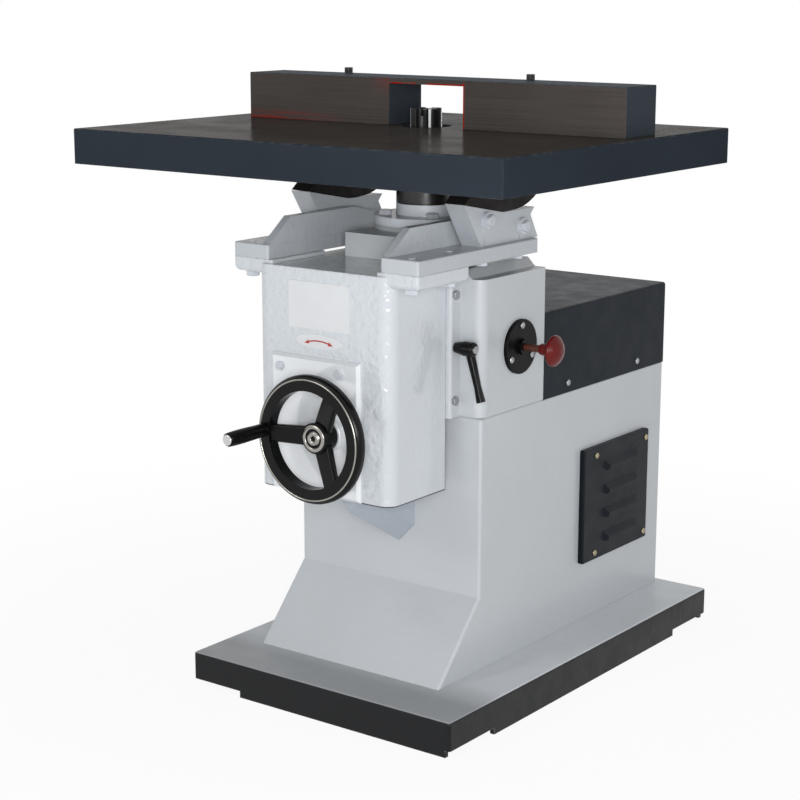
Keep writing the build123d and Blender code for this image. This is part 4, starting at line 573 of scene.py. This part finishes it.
machined, *_ = plain("machined steel", paint(150, 150, 148), rough=(0.28, 0.42), metal=1.0, drift=0.12)
black_steel, tree, shader, shown = plain("blackened steel", paint(15, 15, 15), rough=(0.3, 0.44), metal=0.2,
                                         wear=0.3)
browned, *_ = plain("browned steel", paint(88, 48, 38), rough=(0.32, 0.46), metal=0.3, drift=0.2)
dark_bolt, *_ = plain("dark bolt", paint(66, 66, 66), rough=(0.29, 0.4), metal=0.9)
bronze, *_ = plain("bronze", paint(178, 134, 78), rough=(0.3, 0.44), metal=1.0, drift=0.12)
belt_rubber, *_ = plain("belt rubber", paint(32, 31, 30), rough=(0.6, 0.75), grain=0.0006)
painted_bolt, *_ = plain("painted bolt", paint(194, 199, 206), rough=(0.29, 0.38), coat=0.3, grain=0.0005,
                         wear=0.3, worn_to=paint(128, 126, 122))
label_white, *_ = plain("label white", paint(212, 214, 216), rough=(0.3, 0.42), drift=0.03, grain=0.00005)
arrow_red, *_ = plain("arrow red", paint(170, 52, 44), rough=(0.36, 0.46), drift=0.04, grain=0.00005)
print("plastics and steels ready")

# %% [markdown]
# ## Finishes on the CAD pieces
# Every CAD piece keeps its shape and takes one of the finishes. The cutter's body is blackened, and its
# knives are narrow bright bands at the leading edges of its four lands.

# %% Dress the CAD pieces
dress = {
    plinth_paint: ["plinth"],
    grey_enamel: ["pedestal"],
    corbel_enamel_shaded: ["lift_bracket"],
    head_enamel: ["spindle_head"],
    small_enamel: ["saddle_right", "saddle_left", "bracket_right", "bracket_left"],
    cartridge_paint: ["spindle_cartridge"],
    cast_enamel: ["knee"],
    panel_enamel: ["front_panel"],
    cover_paint: ["belt_cover"],
    vent_paint: ["vent_panel"],
    dark_cast_and_shade: ["trunnion_right", "trunnion_left", "motor_pulley", "spindle_pulley"],
    motor_paint: ["motor_housing", "motor_base_plate"],
    table_iron: ["table", "table_insert"],
    fence_iron: ["fence_left", "fence_right", "fence_bridge"],
    black_gloss: ["handwheel", "clamp_lever"],
    black_satin: ["handle_grip", "lock_flange"],
    red_gloss: ["lock_knob"],
    zinc: ["lock_screws", "cover_screws", "lever_stud", "trunnion_bolts"],
    yellow_zinc: ["vent_screws"],
    painted_bolt: ["ear_bolts", "saddle_bolts", "flange_bolts", "panel_bolts", "gib_screws",
                   "lift_bracket_bolts", "clamp_bolts", "clamp_washers"],
    bright: ["hub_cap", "grip_stud"],
    machined: ["gib", "spindle_shaft", "spindle_bearings", "lift_screw", "wheel_shaft", "lift_pinion",
               "nut_ring", "motor_shaft"],
    browned: ["lock_pin"],
    dark_bolt: ["fence_bolts"],
    black_steel: ["cutter", "spindle_nut"],
    bronze: ["shaft_bush", "lift_nut"],
    belt_rubber: ["drive_belt"],
}
for finish, names in dress.items():
    for name in names:
        mesh = nodes[name].data
        mesh.materials.clear()
        mesh.materials.append(finish)
undressed = set(nodes) - {n for names in dress.values() for n in names}
print("dressed", sum(len(v) for v in dress.values()), "left over", sorted(undressed))

# %% Bright knives on the cutter
cutter_low, cutter_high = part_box("cutter")
spindle_y = (cutter_low.y + cutter_high.y) / 2
lands = 4
knife_middle, knife_half = 0.54, 0.05
body_radius, knife_radius = 0.0243, 0.0249
axes = place_axes(tree)
behind = maths(tree, "SUBTRACT", axes["Y"], spindle_y)
from_axis = put(tree, "ShaderNodeCombineXYZ", {"X": axes["X"], "Y": behind})
radius = put(tree, "ShaderNodeVectorMath", {0: from_axis.outputs[0]}, operation="LENGTH").outputs["Value"]
angle = maths(tree, "ARCTAN2", behind, axes["X"])
along_land = maths(tree, "FRACT", maths(tree, "DIVIDE", angle, 2 * math.pi / lands))
leading = maths(tree, "COMPARE", along_land, knife_middle, knife_half)
knife = maths(tree, "MULTIPLY", spread(tree, radius, body_radius, knife_radius), leading)
tree.links.new(blend(tree, knife, shown, paint(214, 216, 218)), shader.inputs["Base Color"])
print("knives ready")

# %% [markdown]
# ## Bolts
# CAD keeps a bolt as a plain six-sided head on a shank. A real head is turned to a cone at its top, which
# leaves curved corners. One tree of Geometry Nodes cuts that head once and repeats it on every seat. The
# seats are read from the CAD pieces, so the bolts stay where the machine has them.


# %% Where the bolts are seated
def solids_of(name):
    """The lowest and highest corner of each separate solid in a CAD piece."""
    work = bmesh.new()
    work.from_mesh(nodes[name].data)
    bmesh.ops.remove_doubles(work, verts=work.verts, dist=1e-6)
    left = set(work.verts)
    boxes = []
    while left:
        queue = [left.pop()]
        found = []
        while queue:
            vert = queue.pop()
            found.append(vert.co.copy())
            near = {edge.other_vert(vert) for edge in vert.link_edges} & left
            left -= near
            queue.extend(near)
        low = Vector([min(c[i] for c in found) for i in range(3)])
        high = Vector([max(c[i] for c in found) for i in range(3)])
        boxes.append((low, high))
    work.free()
    return sorted(boxes, key=lambda pair: tuple(pair[0]))


def seats(name, way, head):
    """Each bolt's seat and the way its head faces, then the head's width and the shank's length."""
    spots = []
    for low, high in solids_of(name):
        middle, half = (low + high) / 2, (high - low) / 2
        aim = Vector((math.copysign(1, middle.x), 0, 0)) if way == "outward" else Vector(way)
        reach = abs(half.dot(aim))
        spots.append((middle + aim * (reach - head), aim))
        across = min(2 * half[i] for i in range(3) if abs(aim[i]) < 0.5)
    return spots, across, 2 * reach - head


# Each size holds the head's height and the shank's radius.
m6, m8, m10, m12 = (0.004, 0.003), (0.0055, 0.004), (0.007, 0.005), (0.008, 0.006)
tall_m8 = (0.0095, 0.004)
spots, across, length = seats("clamp_bolts", "outward", m10[0])
print("clamp bolts", len(spots), "across flats", round(across, 4), "shank", round(length, 4))


# %% Geometry tree maker
def new_tree(name, inputs):
    """An empty geometry tree with named inputs, its input sockets and its output node."""
    tree = bpy.data.node_groups.new(name, "GeometryNodeTree")
    tree.interface.new_socket("Geometry", in_out="INPUT", socket_type="NodeSocketGeometry")
    for label, value in inputs.items():
        kind = "NodeSocketMaterial" if value is None else "NodeSocketFloat"
        socket = tree.interface.new_socket(label, in_out="INPUT", socket_type=kind)
        if value is not None:
            socket.default_value = value
    tree.interface.new_socket("Geometry", in_out="OUTPUT", socket_type="NodeSocketGeometry")
    return tree, tree.nodes.new("NodeGroupInput").outputs, tree.nodes.new("NodeGroupOutput")


def shifted(tree, shape, up):
    """A shape moved along its own axis."""
    move = put(tree, "ShaderNodeCombineXYZ", {"Z": up})
    return put(tree, "GeometryNodeTransform", {"Geometry": shape, "Translation": move.outputs[0]}).outputs[0]


def on_seats(tree, given, end, shapes):
    """Joins shapes to one fastener and repeats it on the seats, turned the way that each seat asks."""
    join = tree.nodes.new("GeometryNodeJoinGeometry")
    for shape in shapes:
        tree.links.new(shape, join.inputs[0])
    aim = put(tree, "GeometryNodeInputNamedAttribute", {"Name": "aim"}, data_type="FLOAT_VECTOR")
    turn = put(tree, "FunctionNodeAlignRotationToVector", {"Vector": aim.outputs[0]}, axis="Z")
    copies = put(tree, "GeometryNodeInstanceOnPoints",
                 {"Points": given["Geometry"], "Instance": join.outputs[0], "Rotation": turn.outputs[0]})
    real = put(tree, "GeometryNodeRealizeInstances", {"Geometry": copies.outputs[0]})
    done = put(tree, "GeometryNodeSetMaterial", {"Geometry": real.outputs[0], "Material": given["Finish"]})
    tree.links.new(done.outputs[0], end.inputs[0])


# %% Hex bolt tree
hex_tree, given, end = new_tree(
    "hex bolts",
    {"Across flats": 0.017, "Head": 0.007, "Shank radius": 0.005, "Shank length": 0.02, "Finish": None},
)
crown_share, crown_slope = 0.46, 1.75
flats, head = given["Across flats"], given["Head"]
corner = maths(hex_tree, "DIVIDE", flats, math.sqrt(3))
prism = put(hex_tree, "GeometryNodeMeshCylinder",
            {"Vertices": 6, "Radius": corner, "Depth": head}).outputs["Mesh"]
prism = shifted(hex_tree, prism, maths(hex_tree, "MULTIPLY", head, 0.5))
crown = maths(hex_tree, "MULTIPLY", flats, crown_share)
skirt = maths(hex_tree, "MULTIPLY_ADD", head, crown_slope, crown)
cone = put(hex_tree, "GeometryNodeMeshCone",
           {"Vertices": 48, "Radius Top": crown, "Radius Bottom": skirt, "Depth": head}).outputs["Mesh"]
turned = put(hex_tree, "GeometryNodeMeshBoolean", operation="INTERSECT", solver="EXACT")
hex_tree.links.new(prism, turned.inputs["Mesh 2"])
hex_tree.links.new(cone, turned.inputs["Mesh 2"])
shank = put(hex_tree, "GeometryNodeMeshCylinder",
            {"Vertices": 24, "Radius": given["Shank radius"], "Depth": given["Shank length"]}).outputs["Mesh"]
shank = shifted(hex_tree, shank, maths(hex_tree, "MULTIPLY", given["Shank length"], -0.5))
on_seats(hex_tree, given, end, [turned.outputs["Mesh"], shank])
print("hex bolt tree ready")


# %% Repeat a tree on the seats of a CAD piece
def repeat(node, tree, spots, values):
    """Replaces a CAD piece's fasteners by detailed ones, kept as one plain mesh on the same body."""
    points = bpy.data.meshes.new(node + "_seats")
    points.from_pydata([place for place, _ in spots], [], [])
    aims = points.attributes.new("aim", "FLOAT_VECTOR", "POINT")
    for i, (_, aim) in enumerate(spots):
        aims.data[i].vector = aim
    piece = bpy.data.objects.new(node + "_cut", points)
    scene.collection.objects.link(piece)
    modifier = piece.modifiers.new("repeat", "NODES")
    modifier.node_group = tree
    for item in tree.interface.items_tree:
        if item.in_out == "INPUT" and item.name in values:
            modifier[item.identifier] = values[item.name]
    shown = piece.evaluated_get(bpy.context.evaluated_depsgraph_get())
    mesh = bpy.data.meshes.new_from_object(shown)
    piece.modifiers.clear()
    piece.data = mesh
    body = next(b for b, names in frame["record"]["behaviour"]["bodies"].items() if node in names)
    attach(piece, body)
    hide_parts(node)
    return piece


# %% Cut every hex bolt
# Each row holds the CAD piece, the way its heads face, the bolt's size and its finish.
up, down, to_front, to_right = (0, 0, 1), (0, 0, -1), (0, -1, 0), (1, 0, 0)
hex_nodes = [
    ("clamp_bolts", "outward", m10, painted_bolt),
    ("saddle_bolts", down, m10, painted_bolt),
    ("ear_bolts", down, m12, painted_bolt),
    ("flange_bolts", up, m12, painted_bolt),
    ("panel_bolts", to_front, m8, painted_bolt),
    ("gib_screws", to_right, m8, zinc),
    ("lift_bracket_bolts", to_front, m8, painted_bolt),
    ("trunnion_bolts", down, m6, zinc),
    ("fence_bolts", up, tall_m8, dark_bolt),
]
for node, way, (head, shank_radius), finish in hex_nodes:
    spots, across, length = seats(node, way, head)
    values = {"Across flats": across, "Head": head, "Shank radius": shank_radius, "Shank length": length,
              "Finish": finish}
    piece = repeat(node, hex_tree, spots, values)
    print(piece.name, len(spots), "bolts,", len(piece.data.polygons), "faces")

# %% [markdown]
# ## Slotted screws
# The cover, the vent and the lock flange are held by domed screws with a straight slot. A dome is a
# flattened ball cut at its seat, and a thin bar cuts the slot. The tree works as the bolts' tree does.

# %% Slotted screw tree
slot_tree, given, end = new_tree(
    "slotted screws", {"Head radius": 0.0055, "Head": 0.003, "Slot": 0.0014, "Shank radius": 0.003,
                       "Shank length": 0.014, "Finish": None}
)
seat_share, bar_share = 0.97, 3.0
radius, head = given["Head radius"], given["Head"]
ball = put(slot_tree, "GeometryNodeMeshUVSphere",
           {"Segments": 40, "Rings": 20, "Radius": 1.0}).outputs["Mesh"]
squash = put(slot_tree, "ShaderNodeCombineXYZ", {"X": radius, "Y": radius, "Z": head})
ball = put(slot_tree, "GeometryNodeTransform", {"Geometry": ball, "Scale": squash.outputs[0]}).outputs[0]
seat_radius = maths(slot_tree, "MULTIPLY", radius, seat_share)
disc = put(slot_tree, "GeometryNodeMeshCylinder",
           {"Vertices": 40, "Radius": seat_radius, "Depth": head}).outputs["Mesh"]
disc = shifted(slot_tree, disc, maths(slot_tree, "MULTIPLY", head, 0.5))
dome = put(slot_tree, "GeometryNodeMeshBoolean", operation="INTERSECT", solver="EXACT")
slot_tree.links.new(ball, dome.inputs["Mesh 2"])
slot_tree.links.new(disc, dome.inputs["Mesh 2"])
bar_size = put(slot_tree, "ShaderNodeCombineXYZ",
               {"X": maths(slot_tree, "MULTIPLY", radius, bar_share), "Y": given["Slot"], "Z": head})
bar = put(slot_tree, "GeometryNodeMeshCube", {"Size": bar_size.outputs[0]}).outputs["Mesh"]
bar = shifted(slot_tree, bar, head)
cut = put(slot_tree, "GeometryNodeMeshBoolean", {"Mesh 1": dome.outputs["Mesh"], "Mesh 2": bar},
          operation="DIFFERENCE", solver="EXACT")
shank = put(slot_tree, "GeometryNodeMeshCylinder",
            {"Vertices": 20, "Radius": given["Shank radius"], "Depth": given["Shank length"]}).outputs["Mesh"]
shank = shifted(slot_tree, shank, maths(slot_tree, "MULTIPLY", given["Shank length"], -0.5))
on_seats(slot_tree, given, end, [cut.outputs["Mesh"], shank])
print("slotted screw tree ready")

# %% Cut every slotted screw
screw_head, screw_slot, screw_shank = 0.003, 0.0014, 0.003
slotted_nodes = [
    ("cover_screws", "outward", zinc),
    ("vent_screws", to_right, yellow_zinc),
    ("lock_screws", to_right, zinc),
]
for node, way, finish in slotted_nodes:
    spots, across, length = seats(node, way, screw_head)
    values = {"Head radius": across / 2, "Head": screw_head, "Slot": screw_slot, "Shank radius": screw_shank,
              "Shank length": length, "Finish": finish}
    piece = repeat(node, slot_tree, spots, values)
    print(piece.name, len(spots), "screws,", len(piece.data.polygons), "faces")

# %% [markdown]
# ## The handwheel's bright parts
# The wheel's rim has a thin bright ring let into its front, and its hub is closed by a dished cap with a
# ring, a dark groove and a centre screw. Both are turned parts, so a profile is spun about the wheel's
# axis.


# %% Turn a profile
def turn(name, profile, centre, way, finishes, steps=96):
    """Spins a profile of (radius, height, finish number) about an axis. A radius of 0 closes an end."""
    work = bmesh.new()
    rings = []
    for radius, height, _ in profile:
        angles = [2 * math.pi * i / steps for i in range(steps)]
        around = angles if radius > 1e-9 else [0.0]
        rings.append([work.verts.new((radius * math.cos(a), radius * math.sin(a), height)) for a in around])
    for (first, second), (_, _, number) in zip(zip(rings, rings[1:]), profile):
        for i in range(steps):
            j = (i + 1) % steps
            corners = [first[i % len(first)], first[j % len(first)]]
            corners += [second[j % len(second)], second[i % len(second)]]
            face = work.faces.new(list(dict.fromkeys(corners)))
            face.material_index = number
            face.smooth = True
    bmesh.ops.recalc_face_normals(work, faces=work.faces)
    mesh = bpy.data.meshes.new(name)
    work.to_mesh(mesh)
    work.free()
    mesh.transform(Matrix.Translation(centre) @ Vector(way).to_track_quat("Z", "Y").to_matrix().to_4x4())
    for finish in finishes:
        mesh.materials.append(finish)
    piece = bpy.data.objects.new(name, mesh)
    scene.collection.objects.link(piece)
    return piece


wheel_low, wheel_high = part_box("handwheel")
wheel_centre = (wheel_low + wheel_high) / 2
wheel_x, wheel_z = wheel_centre.x, wheel_centre.z
rim_front = wheel_low.y
wheel_radius = (wheel_high.x - wheel_low.x) / 2
print("wheel radius", round(wheel_radius, 4), "centre", round(wheel_x, 4), round(wheel_z, 4))

# %% Ring in the rim
ring_inset, ring_thick, ring_sink = 0.0068, 0.0014, 0.0004
ring_sides = 16
ring_radius = wheel_radius - ring_inset
ring_profile = []
for i in range(ring_sides + 1):
    angle = 2 * math.pi * i / ring_sides
    ring_profile.append((ring_radius + ring_thick * math.cos(angle), ring_thick * math.sin(angle), 0))
ring_centre = (wheel_x, rim_front + ring_sink, wheel_z)
rim_ring = turn("rim_ring", ring_profile, ring_centre, to_front, [dull_bright])

# The ring's profile ends where it starts, so its doubled points are merged.
work = bmesh.new()
work.from_mesh(rim_ring.data)
bmesh.ops.remove_doubles(work, verts=work.verts, dist=1e-7)
bmesh.ops.recalc_face_normals(work, faces=work.faces)
work.to_mesh(rim_ring.data)
work.free()
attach(rim_ring, "wheel_group")
print("ring", len(rim_ring.data.polygons), "faces")

# %% Hub cap
# The profile runs outwards over the socket, the screw, the dark groove and the ring, then back inside.
cap_low, cap_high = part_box("hub_cap")
cap_stand = 0.0045
cap_radius = (cap_high.x - cap_low.x) / 2
hub_front = cap_low.y + cap_stand
hub_profile = [
    (0.0, 0.0016, 1), (0.0034, 0.0016, 1), (0.0036, 0.0042, 0), (0.0092, 0.0044, 0), (0.0105, 0.0038, 0),
    (0.0110, 0.0011, 1), (0.0148, 0.0011, 1), (0.0152, 0.0024, 0), (0.0162, 0.0030, 0), (0.0202, 0.0028, 0),
    (0.0212, 0.0018, 0), (0.0216, 0.0, 0), (0.0099, 0.0, 0), (0.0099, -0.003, 0), (0.0, -0.003, 0),
]
hub_profile = [(min(radius, cap_radius), height, number) for radius, height, number in hub_profile]
hub_detail = turn("hub_cap_turned", hub_profile, (wheel_x, hub_front, wheel_z), to_front,
                  [dull_bright, black_satin], steps=64)
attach(hub_detail, "wheel_group")
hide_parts("hub_cap")
print("hub cap", len(hub_detail.data.polygons), "faces")

# %% [markdown]
# ## Label plate and sticker
# A thin bare plate sits high on the knee's front. Under it a small oval sticker carries a plain double arrow
# for the handwheel's two ways. Both could be painted in a material, but flat outlines that are drawn as
# points and given a thickness keep their edges crisp.


# %% Flat plates on the knee's front
def flat_plate(name, outline, front, thickness, finish):
    """A thin plate with an outline in X and Z, standing on the knee's front."""
    work = bmesh.new()
    back = [work.verts.new((x, front, z)) for x, z in outline]
    face = work.faces.new(back)
    grown = bmesh.ops.extrude_face_region(work, geom=[face])["geom"]
    raised = [v for v in grown if isinstance(v, bmesh.types.BMVert)]
    bmesh.ops.translate(work, verts=raised, vec=(0, -thickness, 0))
    bmesh.ops.recalc_face_normals(work, faces=work.faces)
    mesh = bpy.data.meshes.new(name)
    work.to_mesh(mesh)
    work.free()
    mesh.materials.append(finish)
    piece = bpy.data.objects.new(name, mesh)
    scene.collection.objects.link(piece)
    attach(piece, "knee_group")
    return piece


def rounded_box(left, right, low, high, corner, steps=6):
    """The outline of a box with rounded corners, each a quarter circle in steps."""
    points = []
    for x, z, begin in ((right, high, 0), (left, high, 90), (left, low, 180), (right, low, 270)):
        mid_x = x - math.copysign(corner, x - (left + right) / 2)
        mid_z = z - math.copysign(corner, z - (low + high) / 2)
        for step in range(steps + 1):
            angle = math.radians(begin + 90 * step / steps)
            points.append((mid_x + corner * math.cos(angle), mid_z + corner * math.sin(angle)))
    return points


knee_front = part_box("knee")[0].y
label_thickness = 0.0007
label_outline = rounded_box(left=-0.065, right=0.054, low=0.615, high=0.688, corner=0.004)
label = flat_plate("label_plate", label_outline, knee_front, label_thickness, label_white)
print("label", len(label.data.polygons), "faces")

# %% Sticker and arrow
sticker_x, sticker_z = -0.006, 0.5965
sticker_half_width, sticker_half_height, sticker_thickness = 0.045, 0.0115, 0.0004
oval_points = 48
arrow_half, barb_half, arrow_thickness = 0.0011, 0.0032, 0.0003
arc_radius, arc_half, arc_lift = 0.075, math.radians(15), 0.0015
arc_steps, tip_share = 16, 1.45
oval = [(sticker_x + sticker_half_width * math.cos(a), sticker_z + sticker_half_height * math.sin(a))
        for a in (2 * math.pi * i / oval_points for i in range(oval_points))]
sticker = flat_plate("turn_sticker", oval, knee_front, sticker_thickness, label_white)
arc_z = sticker_z + arc_lift - arc_radius


def on_arc(angle, lift):
    """A point on the arrow's arc, or off it by a lift."""
    reach = arc_radius + lift
    return sticker_x + reach * math.sin(angle), arc_z + reach * math.cos(angle)


steps = [arc_half * (2 * i / arc_steps - 1) for i in range(arc_steps + 1)]
tip = arc_half * tip_share
arrow_outline = [on_arc(a, arrow_half) for a in steps]
arrow_outline += [on_arc(arc_half, barb_half), on_arc(tip, 0), on_arc(arc_half, -barb_half)]
arrow_outline += [on_arc(a, -arrow_half) for a in reversed(steps)]
arrow_outline += [on_arc(-arc_half, -barb_half), on_arc(-tip, 0), on_arc(-arc_half, barb_half)]
arrow = flat_plate("turn_arrow", arrow_outline, knee_front - sticker_thickness, arrow_thickness, arrow_red)
print("sticker and arrow", len(sticker.data.polygons), len(arrow.data.polygons), "faces")
